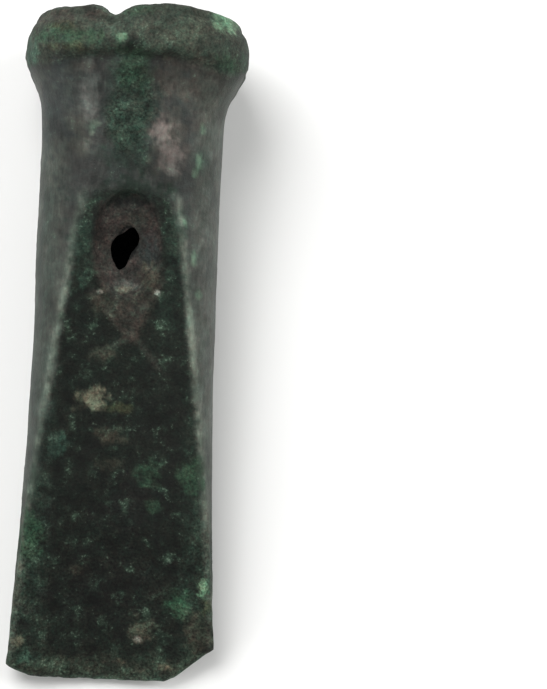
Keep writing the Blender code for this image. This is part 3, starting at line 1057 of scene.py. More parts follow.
def tone_of(red, green, blue):
    """A screen colour from 0 to 255 as the linear numbers of shaders, less what gloss and light add."""
    screen = np.array([red, green, blue]) / 255
    return TONE_DEPTH * np.where(screen <= 0.04045, screen / 12.92, ((screen + 0.055) / 1.055) ** 2.4)


print("White becomes", tone_of(255, 255, 255).round(2))

# %% The tones of the zones and of the marks on them
NECK_GREY = tone_of(58, 61, 59)
SIDE_GREY = tone_of(76, 81, 75)
COLLAR_GREY = tone_of(62, 70, 62)
CHANNEL_BLACK = tone_of(24, 30, 25)
CHANNEL_EDGE = tone_of(37, 47, 40)
DIMPLE_BROWN = tone_of(55, 50, 48)
SHIELD_BROWN = tone_of(60, 58, 53)
BACK_NECK_GREEN = tone_of(58, 82, 68)
BACK_GREEN = tone_of(89, 113, 99)
BACK_EDGE_GREEN = tone_of(112, 122, 112)
# The next tone is painted shade for the back's shaded side facet.
BACK_SHADE = tone_of(24, 25, 26)
RIDGE_GREY = tone_of(118, 127, 116)
# The next tone is painted shade for the inside of the socket.
SOCKET_SHADE = tone_of(22, 22, 20)

NEAR_BLACK = tone_of(26, 26, 25)
DARK_GREEN = tone_of(31, 43, 36)
DEEP_GREEN = tone_of(46, 62, 53)
MID_GREEN = tone_of(54, 80, 62)
SEA_GREEN = tone_of(62, 88, 77)
PALE_GREEN = tone_of(124, 160, 132)
OCHRE_GREEN = tone_of(80, 84, 60)
OCHRE = tone_of(68, 66, 56)
CREAM = tone_of(130, 128, 110)
BROWN_GREY = tone_of(82, 78, 72)
DEEP_BROWN = tone_of(56, 48, 45)
OLIVE_GREY = tone_of(80, 81, 70)
SLATE = tone_of(49, 54, 55)
LIGHT_GREY = tone_of(108, 111, 107)
PINK_GREY = tone_of(124, 117, 113)
# The next tone is for painted glints: small painted highlights.
GLINT = tone_of(190, 192, 184)
print("Darkest tone:", SOCKET_SHADE.round(4), "lightest:", GLINT.round(2))

# %% Marks on the front
# Place across, station, half width, half length in millimetres, tone, strength
FRONT_PATCHES = (
    (-15.0, 1.6, 4.3, 2.0, BROWN_GREY, 0.5),
    (-7.4, 0.9, 2.4, 1.4, DEEP_BROWN, 0.7),
    (-12.7, 3.6, 2.7, 1.0, OCHRE_GREEN, 0.6),
    (-11.8, 5.1, 6.7, 1.5, MID_GREEN, 0.8),
    (-12.1, 7.0, 5.1, 0.8, OCHRE_GREEN, 0.5),
    (-18.2, 8.0, 1.6, 2.4, SEA_GREEN, 0.7),
    (0.2, 0.2, 2.4, 1.0, MID_GREEN, 0.6),
    (8.3, 3.7, 6.3, 3.1, OLIVE_GREY, 0.35),
    (-0.5, 6.5, 1.8, 1.6, NEAR_BLACK, 0.9),
    (-2.5, 5.1, 0.9, 0.8, PALE_GREEN, 0.5),
    (15.3, 0.7, 2.4, 1.9, PALE_GREEN, 0.75),
    (16.5, 8.3, 2.4, 1.8, MID_GREEN, 0.7),
    (-8.6, 10.2, 2.7, 1.0, BROWN_GREY, 0.6),
    # Painted highlight along the neck's left shoulder.
    (-7.4, 16.2, 2.0, 6.8, LIGHT_GREY, 0.7),
    (-6.9, 20.3, 1.4, 1.8, PALE_GREEN, 0.25),
    (-9.7, 21.8, 2.7, 4.3, OLIVE_GREY, 0.4),
    (-13.7, 16.9, 3.2, 9.6, SLATE, 0.8),
    (-15.0, 60.0, 3.0, 40.0, SLATE, 0.3),
    (-15.0, 55.0, 2.5, 32.0, DEEP_GREEN, 0.3),
    (15.5, 45.0, 2.5, 26.0, LIGHT_GREY, 0.4),
    (7.2, 12.1, 4.7, 3.1, BROWN_GREY, 0.6),
    (11.9, 14.7, 3.5, 5.9, BROWN_GREY, 0.4),
    (-0.5, 10.6, 3.7, 4.3, MID_GREEN, 0.5),
    (0.0, 22.5, 4.5, 7.5, DEEP_GREEN, 0.7),
    (6.4, 22.8, 3.6, 6.0, BROWN_GREY, 0.7),
    # Lighter worn metal on the neck's right shoulder, partly painted highlight.
    (5.0, 20.8, 1.9, 2.6, PINK_GREY, 0.75),
    (6.8, 25.2, 2.0, 3.2, PINK_GREY, 0.75),
    (12.0, 25.8, 1.6, 2.4, SEA_GREEN, 0.4),
    (12.3, 20.2, 0.5, 0.9, PALE_GREEN, 0.4),
    (11.9, 25.8, 0.5, 1.3, PALE_GREEN, 0.5),
    (11.3, 27.8, 0.5, 0.8, PALE_GREEN, 0.5),
    (9.7, 36.3, 0.5, 1.0, PALE_GREEN, 0.6),
    (11.5, 43.0, 0.5, 1.2, PALE_GREEN, 0.4),
    (12.7, 49.1, 0.5, 1.0, PALE_GREEN, 0.4),
    (0.7, 31.2, 6.6, 2.8, DARK_GREEN, 0.9),
    (-8.0, 42.4, 2.0, 9.4, DEEP_GREEN, 0.7),
    (8.0, 39.8, 2.2, 7.8, DEEP_GREEN, 0.7),
    # Painted shadow under the steep top of the dimple, partly dark dirt.
    (0.2, 33.2, 3.8, 1.1, NEAR_BLACK, 0.9),
    (0.4, 36.6, 3.6, 1.8, BROWN_GREY, 0.7),
    # Painted shade on the dimple's left wall.
    (-5.0, 40.6, 1.2, 4.4, DEEP_BROWN, 0.6),
    (-3.6, 43.0, 0.9, 3.6, BROWN_GREY, 0.25),
    # Painted shade on the dimple's right wall.
    (3.9, 42.6, 2.0, 4.2, SLATE, 0.7),
    # Pale crust on the dimple's lower wall, partly painted light where that wall faces the light.
    (-0.1, 48.0, 3.3, 1.0, LIGHT_GREY, 0.5),
    (-0.5, 48.5, 1.6, 0.7, CREAM, 0.4),
    (-4.6, 50.7, 2.4, 2.4, OLIVE_GREY, 0.4),
    (4.0, 46.8, 1.8, 3.5, OLIVE_GREY, 0.7),
    (-8.7, 53.2, 2.4, 3.1, DARK_GREEN, 0.6),
    (8.0, 50.2, 2.9, 4.7, DARK_GREEN, 0.7),
    # Painted glints at the ends of the shield's raised lines.
    (-4.7, 49.2, 0.7, 0.4, GLINT, 0.4),
    (5.5, 48.9, 0.5, 0.5, GLINT, 0.7),
    (-3.5, 60.0, 2.4, 1.2, OLIVE_GREY, 0.5),
    (-5.1, 68.0, 2.3, 2.0, CREAM, 0.9),
    (-6.8, 69.3, 1.3, 1.0, OCHRE, 0.6),
    (-0.4, 69.4, 2.2, 0.9, OCHRE_GREEN, 0.5),
    (-1.9, 74.3, 2.9, 1.3, OCHRE, 0.5),
    (-1.7, 79.3, 2.2, 1.3, OCHRE, 0.4),
    (2.7, 86.4, 5.9, 5.9, NEAR_BLACK, 0.6),
    (-11.3, 75.9, 2.0, 2.4, SEA_GREEN, 0.5),
    (5.5, 81.2, 2.2, 2.2, MID_GREEN, 0.6),
    (13.1, 81.0, 2.5, 3.1, MID_GREEN, 0.8),
    (-14.5, 83.7, 2.4, 3.5, DEEP_GREEN, 0.6),
    (6.6, 86.6, 1.6, 1.2, MID_GREEN, 0.6),
    (-15.2, 93.0, 2.2, 4.3, MID_GREEN, 0.8),
    (-6.6, 98.5, 1.2, 1.0, OCHRE, 0.5),
    (-1.0, 101.0, 11.0, 7.0, NEAR_BLACK, 0.4),
    (16.0, 100.6, 1.0, 1.6, PALE_GREEN, 0.8),
    (11.6, 103.6, 2.4, 2.4, MID_GREEN, 0.8),
    (16.7, 104.1, 1.0, 1.6, OCHRE_GREEN, 0.6),
    (5.6, 108.9, 2.4, 2.2, OLIVE_GREY, 0.7),
    (15.7, 108.9, 2.5, 3.7, OLIVE_GREY, 0.5),
    # A painted glint near the cutting edge.
    (4.7, 110.4, 0.6, 0.5, GLINT, 0.5),
    (-16.4, 111.4, 1.2, 1.0, CREAM, 0.5),
    (-14.9, 114.4, 2.4, 1.6, SEA_GREEN, 0.5),
    (2.1, 114.7, 0.8, 0.7, CREAM, 0.6),
    (9.6, 115.4, 1.3, 0.5, CREAM, 0.7),
)
print("Marks on the front:", len(FRONT_PATCHES))

# %% Marks on the back
# The same columns as on the front
BACK_PATCHES = (
    (16.2, 3.3, 2.4, 2.4, MID_GREEN, 0.5),
    (14.3, 6.8, 3.1, 1.6, DEEP_BROWN, 0.6),
    (4.0, 2.8, 8.2, 1.4, BROWN_GREY, 0.7),
    (0.6, 6.0, 2.7, 1.6, LIGHT_GREY, 0.4),
    (9.3, 9.0, 2.4, 2.7, SEA_GREEN, 0.5),
    (-10.9, 2.9, 4.7, 2.2, DEEP_BROWN, 0.6),
    (-17.0, 3.7, 2.0, 2.4, BROWN_GREY, 0.6),
    (-8.6, 7.9, 6.3, 3.5, DARK_GREEN, 0.5),
    (3.6, 10.6, 6.7, 2.4, OLIVE_GREY, 0.6),
    (8.9, 15.9, 5.1, 3.1, SEA_GREEN, 0.6),
    (-1.0, 15.5, 4.7, 3.5, SEA_GREEN, 0.5),
    (-2.9, 22.4, 3.1, 3.5, MID_GREEN, 0.7),
    (5.5, 19.3, 2.4, 1.4, SLATE, 0.5),
    (9.7, 23.9, 1.6, 2.7, NEAR_BLACK, 0.5),
    (9.3, 32.3, 2.0, 1.6, DEEP_BROWN, 0.7),
    (11.6, 37.6, 1.6, 2.4, NEAR_BLACK, 0.5),
    (3.6, 31.5, 2.4, 1.0, LIGHT_GREY, 0.6),
    (4.7, 36.1, 4.3, 4.7, BROWN_GREY, 0.8),
    (0.6, 40.7, 5.9, 2.4, OLIVE_GREY, 0.5),
    (9.3, 46.4, 2.7, 4.3, BROWN_GREY, 0.8),
    (11.4, 44.5, 0.9, 2.9, PALE_GREEN, 0.5),
    (0.6, 46.4, 4.7, 2.4, SEA_GREEN, 0.6),
    (-6.3, 47.5, 2.7, 2.7, BROWN_GREY, 0.6),
    (9.5, 65.7, 3.1, 2.7, BROWN_GREY, 0.8),
    (13.7, 66.5, 1.1, 3.1, PALE_GREEN, 0.4),
    (-2.9, 67.2, 3.1, 2.4, SLATE, 0.4),
    (-5.3, 73.1, 4.7, 2.0, BROWN_GREY, 0.6),
    (13.0, 75.0, 1.4, 1.0, PALE_GREEN, 0.5),
    (-2.5, 79.6, 2.4, 1.6, SLATE, 0.4),
    (13.7, 81.6, 1.6, 3.5, BROWN_GREY, 0.6),
    (8.3, 85.1, 2.4, 2.0, OCHRE_GREEN, 0.5),
    (-8.0, 90.1, 3.5, 2.4, BROWN_GREY, 0.5),
    (-2.5, 94.4, 2.7, 1.6, LIGHT_GREY, 0.4),
    (11.4, 97.9, 2.9, 1.6, BROWN_GREY, 0.7),
    (1.7, 100.2, 5.5, 2.0, BROWN_GREY, 0.6),
    (-6.8, 102.1, 3.5, 2.0, BROWN_GREY, 0.5),
    (1.0, 106.4, 1.6, 0.8, DEEP_BROWN, 0.5),
    (10.6, 112.6, 3.1, 2.4, OLIVE_GREY, 0.5),
    (-1.0, 115.3, 11.8, 1.1, OLIVE_GREY, 0.6),
)
print("Marks on the back:", len(BACK_PATCHES))


# %% Laying tones over each other
def blended(base, tone, amount):
    """Base colours moved towards one tone by an amount for each vertex."""
    return base + (tone - base) * np.clip(amount, 0, 1)[..., None]


def patched(colour, points, zone, patches, side):
    """Soft ragged patches laid over a colour: ovals whose borders two noises move."""
    ragged = 0.6 * layered_noise(points, 2.8 * mm, 81) + 0.8 * layered_noise(points, 1.0 * mm, 86)
    for x, station, half_width, half_length, tone, strength in patches:
        across = (zone["x"] / mm - x) / half_width
        along = (zone["station"] / mm - station) / half_length
        away = np.hypot(across, along) + ragged
        colour = blended(colour, tone, side * strength * (1 - rising(away, 0.4, 0.9)))
    return colour


halfway = blended(SOCKET_SHADE, GLINT, np.array(0.5))
print("Halfway from the darkest tone to the lightest:", halfway.round(3))

# %% The painted shade on the back
# Painted shade along the side facet of the back. It runs on the tool's left, which is on the right as
# seen from behind.
# Station, how far from the middle it runs, half width, in millimetres
SHADE_BAND = (
    (8, 15.8, 1.8),
    (16, 14.2, 2.4),
    (24, 11.8, 3.0),
    (31, 9.4, 3.6),
    (37, 11.8, 3.8),
    (50, 12.6, 2.6),
    (62, 13.2, 1.5),
    (80, 14.0, 1.0),
    (118, 16.0, 0.8),
)
BAND_SPREAD = 1.2


def painted_shade_band(points, zone):
    """Painted shade on the back: a bell curve round a line through given places."""
    station, away, width = np.array(SHADE_BAND).T * mm
    offset = zone["x"] + np.interp(zone["station"], station, away)
    offset = offset + 1.3 * mm * layered_noise(points, 3.0 * mm, 91)
    width = BAND_SPREAD * np.interp(zone["station"], station, width)
    return zone["back"] * hump(offset, width) * (1 - 0.6 * rising(zone["station"], 60 * mm, 30 * mm))


print("Places along the dark band:", len(SHADE_BAND))

# %% The colour of every vertex
NECK_HALF_WIDTH = 12.5 * mm
BACK_NECK_HALF_WIDTH = 14.0 * mm
LOW_START = 82.0 * mm
LOW_RUN = 14.0 * mm
LINE_WEAR = 2.6
RIDGE_WEAR_AND_HIGHLIGHT = 1.4
BACK_PATCH_STRENGTH = 0.95
BAND_STRENGTH = 1.5


def front_layers(points, zone):
    """Tones of the front with their amounts, from the lowest to the topmost."""
    station, away, front = zone["station"], np.abs(zone["x"]), zone["front"]
    low_sides = front * rising(station, LOW_START, LOW_RUN) * (1 - zone["front_facet"])
    margin = rising(away, 10 * mm, 4 * mm) + zone["edge"]
    broken = 0.7 + 0.5 * soft_noise(points, 1.3 * mm, 52)
    lines = [
        (BROWN_GREY, LINE_WEAR * front * height / mm * line_rise(zone, start, end, width))
        for start, end, width, height in SHIELD_LINES
    ]
    return [
        (NECK_GREY, front * fading(away, NECK_HALF_WIDTH, 3 * mm)),
        (CHANNEL_BLACK, zone["front_facet"]),
        (CHANNEL_EDGE, zone["front_facet"] * margin),
        (CHANNEL_EDGE, 0.75 * low_sides),
        # Lighter lines along the front ridges: partly worn metal, partly painted highlight.
        (RIDGE_GREY, RIDGE_WEAR_AND_HIGHLIGHT * broken * zone["front_ridge"] * (1 - 0.7 * low_sides)),
        (OLIVE_GREY, 0.3 * zone["edge"] * front),
        (SHIELD_BROWN, zone["shield"]),
        (DIMPLE_BROWN, zone["dimple"]),
        *lines,
    ]


def back_layers(zone):
    """Tones of the back, from the lowest to the topmost, the last of them painted shade on one side."""
    station, away, back = zone["station"], np.abs(zone["x"]), zone["back"]
    # Painted shade on the side beyond the ridge, fading towards the edge.
    shaded_side = back * rising(-zone["x"], 12 * mm, 2 * mm) * fading(station, 90 * mm, 30 * mm)
    return [
        (BACK_NECK_GREEN, back * fading(away, BACK_NECK_HALF_WIDTH, 3 * mm)),
        (BACK_GREEN, zone["back_facet"]),
        (BACK_EDGE_GREEN, zone["back_facet"] * rising(station, 80 * mm, 30 * mm)),
        (BACK_SHADE, 0.6 * shaded_side),
    ]


def collar_layers(zone):
    """The painted shadow under the collar, the neck's corroded patch, and the collar."""
    # Painted shadow: a dark line right under the collar's lower edge, where the collar shades the neck.
    shadow = zone["front"] * (1 - zone["patch"]) * hump(zone["below_collar"] - 0.3 * mm, 0.8 * mm)
    return [
        (NEAR_BLACK, 0.6 * shadow),
        (DEEP_GREEN, 0.7 * zone["patch"]),
        (COLLAR_GREY, zone["collar"]),
    ]


def tones(points, zone):
    """The colour of every vertex: zone over zone, patch over patch, then painted shade on the back and
    inside the socket.
    """
    colour = np.zeros(points.shape) + SIDE_GREY
    for tone, amount in front_layers(points, zone) + back_layers(zone) + collar_layers(zone):
        colour = blended(colour, tone, amount)
    colour = patched(colour, points, zone, FRONT_PATCHES, zone["front"])
    colour = patched(colour, points, zone, BACK_PATCHES, BACK_PATCH_STRENGTH * zone["back"])
    # Painted shade along the band on the back.
    colour = blended(colour, BACK_SHADE, BAND_STRENGTH * painted_shade_band(points, zone))
    # Painted shade inside the socket, darker from just inside the rim.
    return blended(colour, SOCKET_SHADE, zone["socket"] * rising(zone["station"], 1 * mm, 4 * mm))


def vertex_points(mesh):
    """The mesh's vertices in the casting's frame."""
    points = np.empty(len(mesh.vertices) * 3, np.float32)
    mesh.vertices.foreach_get("co", points)
    return moved(points.reshape(-1, 3).astype(float), to_casting)


points = vertex_points(casting_mesh)
zone = zones_of(points)
vertex_tones = tones(points, zone)
print("Mean tone of the casting:", vertex_tones.mean(axis=0).round(3))

# %% How much crust and polish
CRUST_COVER = {
    "back": 0.35,
    "collar": 0.15,
    "patch": 0.15,
    "edge": 0.15,
    "front_facet": 0.12,
    "front_ridge": 0.2,
    "dimple": -0.2,
    "socket": -0.6,
}
LEAST_CRUST_COVER = 0.22


def crust_amount(points, zone):
    """How much of the surface green crust covers."""
    # Less crust where the shade is painted on the back.
    amount = LEAST_CRUST_COVER + weighted(zone, CRUST_COVER) - 0.8 * painted_shade_band(points, zone)
    return np.clip(amount, 0, 1)


def polish_amount(zone):
    """How smooth the metal is: the neck's shoulders and sides most."""
    rubbed_side = rising(zone["x"], 13 * mm, 2 * mm) * rising(zone["station"], 16 * mm, 6 * mm)
    back = zone["back"] * (0.72 - 0.3 * rubbed_side)
    corroded = np.maximum.reduce([0.65 * zone["collar"], 0.9 * zone["patch"], zone["edge"], back])
    smooth = (1 - corroded) * (1 - 0.8 * rising(zone["station"], LOW_START, LOW_RUN))
    return np.clip(smooth * (1 - 0.7 * zone["front_facet"]), 0, 1)


vertex_crust = crust_amount(points, zone)
vertex_polish = polish_amount(zone)
mean_crust, mean_polish = float(vertex_crust.mean()), float(vertex_polish.mean())
print("Mean crust:", round(mean_crust, 2), "mean polish:", round(mean_polish, 2))


# %% Attributes on the mesh
def store(mesh, name, kind, slot, values):
    """An attribute on the vertices, filled by one flat array."""
    made = mesh.attributes.new(name, kind, "POINT")
    made.data.foreach_set(slot, values.astype(np.float32).ravel())


opaque = np.ones((len(points), 1))
store(casting_mesh, "tone", "FLOAT_COLOR", "color", np.hstack([vertex_tones, opaque]))
store(casting_mesh, "crust", "FLOAT", "value", vertex_crust)
store(casting_mesh, "polish", "FLOAT", "value", vertex_polish)
print("Attributes:", ", ".join(a.name for a in casting_mesh.attributes if not a.name.startswith(".")))

# %% [markdown]
# The material
#
# An image would tie the finish to one size of picture, and noise stays sharp from any distance.
# One Principled shader carries it all. The tone comes from the attribute, noise at three sizes
# breaks it into green crust, darker stains and pale specks, and the same noise moves roughness
# and a fine bump, so that light and colour agree. Polished metal shows drawn streaks instead of
# grain. All noise reads Object coordinates, and a Mapping node counts them in millimetres.

# %% Helpers for nodes
LEAST_SHADE = 0.22


def new_node(tree, kind, inputs=(), **settings):
    """A node with its settings, and its inputs set to numbers or linked to sockets."""
    node = tree.nodes.new(kind)
    for name, value in settings.items():
        setattr(node, name, value)
    for name, value in dict(inputs).items():
        if isinstance(value, bpy.types.NodeSocket):
            tree.links.new(value, node.inputs[name])
        else:
            node.inputs[name].default_value = value
    return node


def noise(tree, place, size_mm, detail=3.0, roughness=0.55):
    """Noise whose lumps are about size_mm across, from 0 to 1."""
    inputs = {"Vector": place, "Scale": 1 / size_mm, "Detail": detail, "Roughness": roughness}
    return new_node(tree, "ShaderNodeTexNoise", inputs).outputs["Fac"]


def arithmetic(tree, operation, *values):
    """One sum of sockets and numbers."""
    return new_node(tree, "ShaderNodeMath", enumerate(values), operation=operation).outputs[0]


def ramped(tree, value, low, high):
    """0 below low, 1 above high, S-shaped between."""
    inputs = {"Value": value, "From Min": low, "From Max": high}
    return new_node(tree, "ShaderNodeMapRange", inputs, interpolation_type="SMOOTHSTEP").outputs["Result"]


def lessened(tree, polish, full, loss):
    """A number that polish lowers from full by up to a loss."""
    return arithmetic(tree, "MULTIPLY_ADD", polish, -loss, full)


def factor(tree, value, strength):
    """A noise round a half as a factor round 1, spread by a strength, at least the least shade."""
    spread = arithmetic(tree, "MULTIPLY_ADD", arithmetic(tree, "SUBTRACT", value, 0.5), strength, 1.0)
    return arithmetic(tree, "MAXIMUM", spread, LEAST_SHADE)


def mixed(tree, amount, first, second, blend_type="MIX"):
    """Two colours mixed by an amount."""
    node = new_node(tree, "ShaderNodeMix", data_type="RGBA", blend_type=blend_type)
    for index, value in ((0, amount), (6, first), (7, second)):
        if isinstance(value, bpy.types.NodeSocket):
            tree.links.new(value, node.inputs[index])
        else:
            node.inputs[index].default_value = value
    return node.outputs[2]


def attribute(tree, name, output):
    """The mesh attribute of that name."""
    return new_node(tree, "ShaderNodeAttribute", attribute_name=name).outputs[output]


print("Node helpers are ready")

# %% Place, grain and shade
# Sizes of the noises in millimetres
BROAD_SIZE = 8.0
MIDDLE_SIZE = 2.4
FINE_SIZE = 0.45
STREAK_SIZE = 0.6

# A strength on rough metal, and how much less it is on polish
MIDDLE_STRENGTH = (3.4, 1.8)
GRAIN_STRENGTH = (4.4, 2.6)
BROAD_STRENGTH = 1.8
STREAK_SCALE = 0.22
STREAK_SHARE = 0.7


def millimetre_place(tree):
    """Object coordinates counted in millimetres."""
    place = new_node(tree, "ShaderNodeTexCoord").outputs["Object"]
    return new_node(tree, "ShaderNodeMapping", {"Vector": place, "Scale": (1 / mm,) * 3}).outputs[0]


def drawn_grain(tree, place, fine, polish):
    """Fine noise, drawn into streaks along the tool where the metal is polished."""
    inputs = {"Vector": place, "Scale": (1, STREAK_SCALE, 1)}
    drawn = new_node(tree, "ShaderNodeMapping", inputs).outputs[0]
    streak = noise(tree, drawn, STREAK_SIZE, 3, 0.6)
    return mixed(tree, arithmetic(tree, "MULTIPLY", polish, STREAK_SHARE), fine, streak)


def mottled_shade(tree, broad, middle, grain, polish):
    """Light and dark as a factor: broad, middle and fine noise, the last two weaker on polish."""
    middle_strength = lessened(tree, polish, *MIDDLE_STRENGTH)
    grain_strength = lessened(tree, polish, *GRAIN_STRENGTH)
    shade = factor(tree, broad, BROAD_STRENGTH)
    shade = arithmetic(tree, "MULTIPLY", shade, factor(tree, grain, grain_strength))
    return arithmetic(tree, "MULTIPLY", shade, factor(tree, middle, middle_strength))


print("Strength of the broad mottles:", BROAD_STRENGTH)

# %% Hue, stains, crust and specks
VERDIGRIS = (*tone_of(92, 122, 100), 1)
PALE_SPECK = (*tone_of(138, 164, 142), 1)
STAIN = (*tone_of(30, 31, 29), 1)
NEUTRAL = (1, 1, 1, 1)
WARM = (1.09, 0.98, 0.94, 1)
COOL = (0.90, 1.04, 0.98, 1)
WARM_SPECK = (1.13, 0.98, 0.94, 1)
COOL_SPECK = (0.85, 1.05, 0.98, 1)

# Sizes in millimetres, shares of the colour, and the specks' share as full and loss
CAST_SIZE = 3.2
SPECK_SIZE = 0.7
STAIN_SIZE = 4.3
SPECK_SHARE = (0.9, 0.65)
POLISH_NEUTRAL = 0.55
STAIN_SHARE = 0.6
VERDIGRIS_SHARE = 0.35
PALE_SHARE = 0.45

# The noise from which a thing begins to show, and the noise at which it is full
CAST_RANGE = (0.36, 0.64)
STAIN_RANGE = (0.50, 0.64)
GREEN_RANGE = (0.66, 0.92)
PALE_RANGE = (1.42, 1.66)
CRUST_PUSH = 0.36
FINE_PUSH = 1.2


def cast(tree, place, size_mm, detail, warm, cool):
    """A warm and a cool cast that change places with a noise."""
    share = ramped(tree, noise(tree, place, size_mm, detail, 0.6), *CAST_RANGE)
    return mixed(tree, share, warm, cool)


def toned(tree, place, shade, polish):
    """The attribute's tone times the shade, with broad casts and coloured specks."""
    channels = {"Red": shade, "Green": shade, "Blue": shade}
    grey = new_node(tree, "ShaderNodeCombineColor", channels).outputs[0]
    hue = cast(tree, place, CAST_SIZE, 4, WARM, COOL)
    hue = mixed(tree, arithmetic(tree, "MULTIPLY", polish, POLISH_NEUTRAL), hue, NEUTRAL)
    colour = mixed(tree, 1.0, attribute(tree, "tone", "Color"), grey, "MULTIPLY")
    colour = mixed(tree, 1.0, colour, hue, "MULTIPLY")
    speck_share = lessened(tree, polish, *SPECK_SHARE)
    specks = cast(tree, place, SPECK_SIZE, 3, WARM_SPECK, COOL_SPECK)
    return mixed(tree, speck_share, colour, specks, "MULTIPLY")


def stained(tree, place, colour, crust):
    """Dark stains where the crust is."""
    stain = ramped(tree, noise(tree, place, STAIN_SIZE, 4, 0.6), *STAIN_RANGE)
    stain = arithmetic(tree, "MULTIPLY", stain, STAIN_SHARE)
    return mixed(tree, arithmetic(tree, "MULTIPLY", stain, crust), colour, STAIN)


def crusted(tree, colour, green, pale):
    """Verdigris where the green is, pale specks on top of it."""
    colour = mixed(tree, arithmetic(tree, "MULTIPLY", green, VERDIGRIS_SHARE), colour, VERDIGRIS)
    return mixed(tree, arithmetic(tree, "MULTIPLY", pale, PALE_SHARE), colour, PALE_SPECK)


print("Verdigris:", np.round(VERDIGRIS, 3))

# %% Roughness and bump
BUMP_HEIGHT = 0.16 * mm
SPECULAR_LEVEL = 0.17
GRIT_SIZE = 0.3

# On rough metal, and how much less on polish
ROUGHNESS = (0.76, 0.30)
FLATTENING = (1.0, 0.6)

# What crust and grain add to the roughness, and two noises to the bump
GREEN_ROUGHNESS = 0.12
GRAIN_ROUGHNESS = 0.15
GRIT_SHARE = 0.6
MIDDLE_BUMP = 1.2


def roughness(tree, grain, green, polish):
    """Rough crust, smoother polished metal, both uneven with the grain."""
    rough = lessened(tree, polish, *ROUGHNESS)
    rough = arithmetic(tree, "MULTIPLY_ADD", green, GREEN_ROUGHNESS, rough)
    return arithmetic(tree, "MULTIPLY_ADD", grain, GRAIN_ROUGHNESS, rough)


def fine_bump(tree, place, fine, middle, polish):
    """Three sizes of noise as height, flatter where polished."""
    grit = noise(tree, place, GRIT_SIZE, 3, 0.6)
    height = arithmetic(tree, "MULTIPLY_ADD", grit, GRIT_SHARE, fine)
    height = arithmetic(tree, "MULTIPLY_ADD", middle, MIDDLE_BUMP, height)
    height = arithmetic(tree, "MULTIPLY", height, lessened(tree, polish, *FLATTENING))
    inputs = {"Height": height, "Distance": BUMP_HEIGHT, "Strength": 1.0}
    return new_node(tree, "ShaderNodeBump", inputs).outputs["Normal"]


print("Bump in mm:", BUMP_HEIGHT / mm)


# %% The patinated bronze
def patinated_bronze():
    """The finish of the casting."""
    material = bpy.data.materials.new("patinated_bronze")
    material.use_nodes = True
    tree = material.node_tree
    shader = tree.nodes["Principled BSDF"]
    crust = attribute(tree, "crust", "Fac")
    polish = attribute(tree, "polish", "Fac")
    place = millimetre_place(tree)
    broad = noise(tree, place, BROAD_SIZE, 3)
    middle = noise(tree, place, MIDDLE_SIZE, 5, 0.62)
    fine = noise(tree, place, FINE_SIZE, 3, 0.6)
    grain = drawn_grain(tree, place, fine, polish)

    threshold = arithmetic(tree, "MULTIPLY_ADD", crust, CRUST_PUSH, middle)
    green = ramped(tree, threshold, *GREEN_RANGE)
    pale = ramped(tree, arithmetic(tree, "MULTIPLY_ADD", fine, FINE_PUSH, threshold), *PALE_RANGE)
    colour = toned(tree, place, mottled_shade(tree, broad, middle, grain, polish), polish)
    colour = crusted(tree, stained(tree, place, colour, crust), green, pale)
    tree.links.new(colour, shader.inputs["Base Color"])
    tree.links.new(roughness(tree, grain, green, polish), shader.inputs["Roughness"])
    tree.links.new(fine_bump(tree, place, fine, middle, polish), shader.inputs["Normal"])
    shader.inputs["Specular IOR Level"].default_value = SPECULAR_LEVEL
    shader.inputs["Metallic"].default_value = 0
    return material


casting_mesh.materials.clear()
casting_mesh.materials.append(patinated_bronze())
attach(casting, "root")
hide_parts("gouge")
print("Material:", casting_mesh.materials[0].name)

# %% [markdown]
# Floor, light and camera
#
# A small dark object needs a wide soft light and a pale floor: the floor's light also fills the
# tool's sides, as the white ground does in a museum photograph. A sun lamp would light it more
# simply, but with hard shadows. The camera looks straight down on the pierced front from 570 mm
# away, turned by the few degrees that the tool leans.

# %% The pale floor
FLOOR_HALF = 1.2
FLOOR_WHITE = (0.80, 0.80, 0.79, 1)
FLOOR_ROUGHNESS = 0.9
FLOOR_SPECULAR_LEVEL = 0.1
floor_mesh = bpy.data.meshes.new("pale_floor")
corners = np.array([(-1, -1, 0), (1, -1, 0), (1, 1, 0), (-1, 1, 0)]) * FLOOR_HALF
floor_mesh.from_pydata(corners.tolist(), [], [(0, 1, 2, 3)])
pale_floor = linked("pale_floor", floor_mesh)
floor_material = bpy.data.materials.new("pale_floor")
floor_material.use_nodes = True
floor_shader = floor_material.node_tree.nodes["Principled BSDF"]
floor_shader.inputs["Base Color"].default_value = FLOOR_WHITE
floor_shader.inputs["Roughness"].default_value = FLOOR_ROUGHNESS
floor_shader.inputs["Specular IOR Level"].default_value = FLOOR_SPECULAR_LEVEL
floor_mesh.materials.append(floor_material)
print("The floor is", 2 * FLOOR_HALF, "m wide")

# %% The soft light
HORIZON_STRENGTH = 0.95
CEILING_STRENGTH = 0.25
CEILING_RISE = 0.55

# Each light: its place in metres, its width, its power in watts
LIGHTS = (
    ("key_light", (-0.28, 0.38, 0.64), 0.50, 6.4),
    ("side_light", (0.56, 0.16, 0.40), 0.40, 3.2),
    ("low_light", (-0.62, -0.20, 0.36), 0.40, 1.9),
)


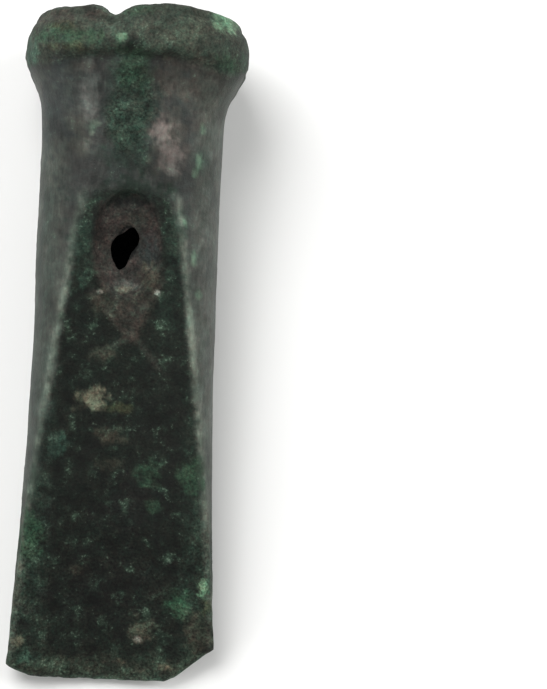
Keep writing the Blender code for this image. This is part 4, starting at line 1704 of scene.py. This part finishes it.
def pale_room():
    """A world whose light fades by the height of each direction, from the horizon to the ceiling."""
    world = bpy.data.worlds.new("pale_room")
    world.use_nodes = True
    tree = world.node_tree
    way = new_node(tree, "ShaderNodeTexCoord").outputs["Generated"]
    height = new_node(tree, "ShaderNodeSeparateXYZ", {"Vector": way}).outputs["Z"]
    fade = new_node(tree, "ShaderNodeMapRange", {
        "Value": height, "From Min": 0.0, "From Max": CEILING_RISE,
        "To Min": HORIZON_STRENGTH, "To Max": CEILING_STRENGTH,
    }, interpolation_type="SMOOTHSTEP").outputs["Result"]
    background = tree.nodes["Background"]
    background.inputs["Color"].default_value = (1, 1, 1, 1)
    tree.links.new(fade, background.inputs["Strength"])
    return world


bpy.context.scene.world = pale_room()
for name, place, width, power in LIGHTS:
    light = bpy.data.lights.new(name, "AREA")
    light.shape = "SQUARE"
    light.size = width
    light.energy = power
    lamp = linked(name, light)
    lamp.location = place
    lamp.rotation_euler = (-Vector(place)).to_track_quat("-Z", "Y").to_euler()
bpy.context.scene.view_settings.view_transform = "Standard"
print("Lights:", len(LIGHTS))

# %% The camera
FRAME_WIDTH = 547
FRAME_HEIGHT = 689
PIXELS_PER_MM = 5.6
CAMERA_DISTANCE = 570 * mm
AIMED_STATION = 57.8 * mm
CAMERA_ROLL = radians(2.4)
TOOL_PIXEL = (123.8, 342.0)
SENSOR = 36.0

front_way = Vector(to_world[:3, 2])
across_way = Vector(to_world[:3, 0])
up_way = cos(CAMERA_ROLL) * to_mouth - sin(CAMERA_ROLL) * across_way
right_way = cos(CAMERA_ROLL) * across_way + sin(CAMERA_ROLL) * to_mouth
target = casting_to_world @ Vector((0, -AIMED_STATION, 0))
aside = (FRAME_WIDTH / 2 - TOOL_PIXEL[0]) / PIXELS_PER_MM * mm
above = (TOOL_PIXEL[1] - FRAME_HEIGHT / 2) / PIXELS_PER_MM * mm
camera_place = target + CAMERA_DISTANCE * front_way
back_way = (camera_place - (target + aside * right_way + above * up_way)).normalized()
right_way = up_way.cross(back_way).normalized()
up_way = back_way.cross(right_way)

camera_data = bpy.data.cameras.new("camera")
camera_data.sensor_fit = "VERTICAL"
camera_data.sensor_height = SENSOR
camera_data.lens = SENSOR * CAMERA_DISTANCE / (FRAME_HEIGHT / PIXELS_PER_MM * mm)
camera_data.clip_start = 0.01
camera = linked("camera", camera_data)
turned = Matrix((right_way, up_way, back_way)).transposed()
camera.matrix_world = Matrix.Translation(camera_place) @ turned.to_4x4()
bpy.context.scene.camera = camera
print("Lens in mm:", round(camera_data.lens, 1))
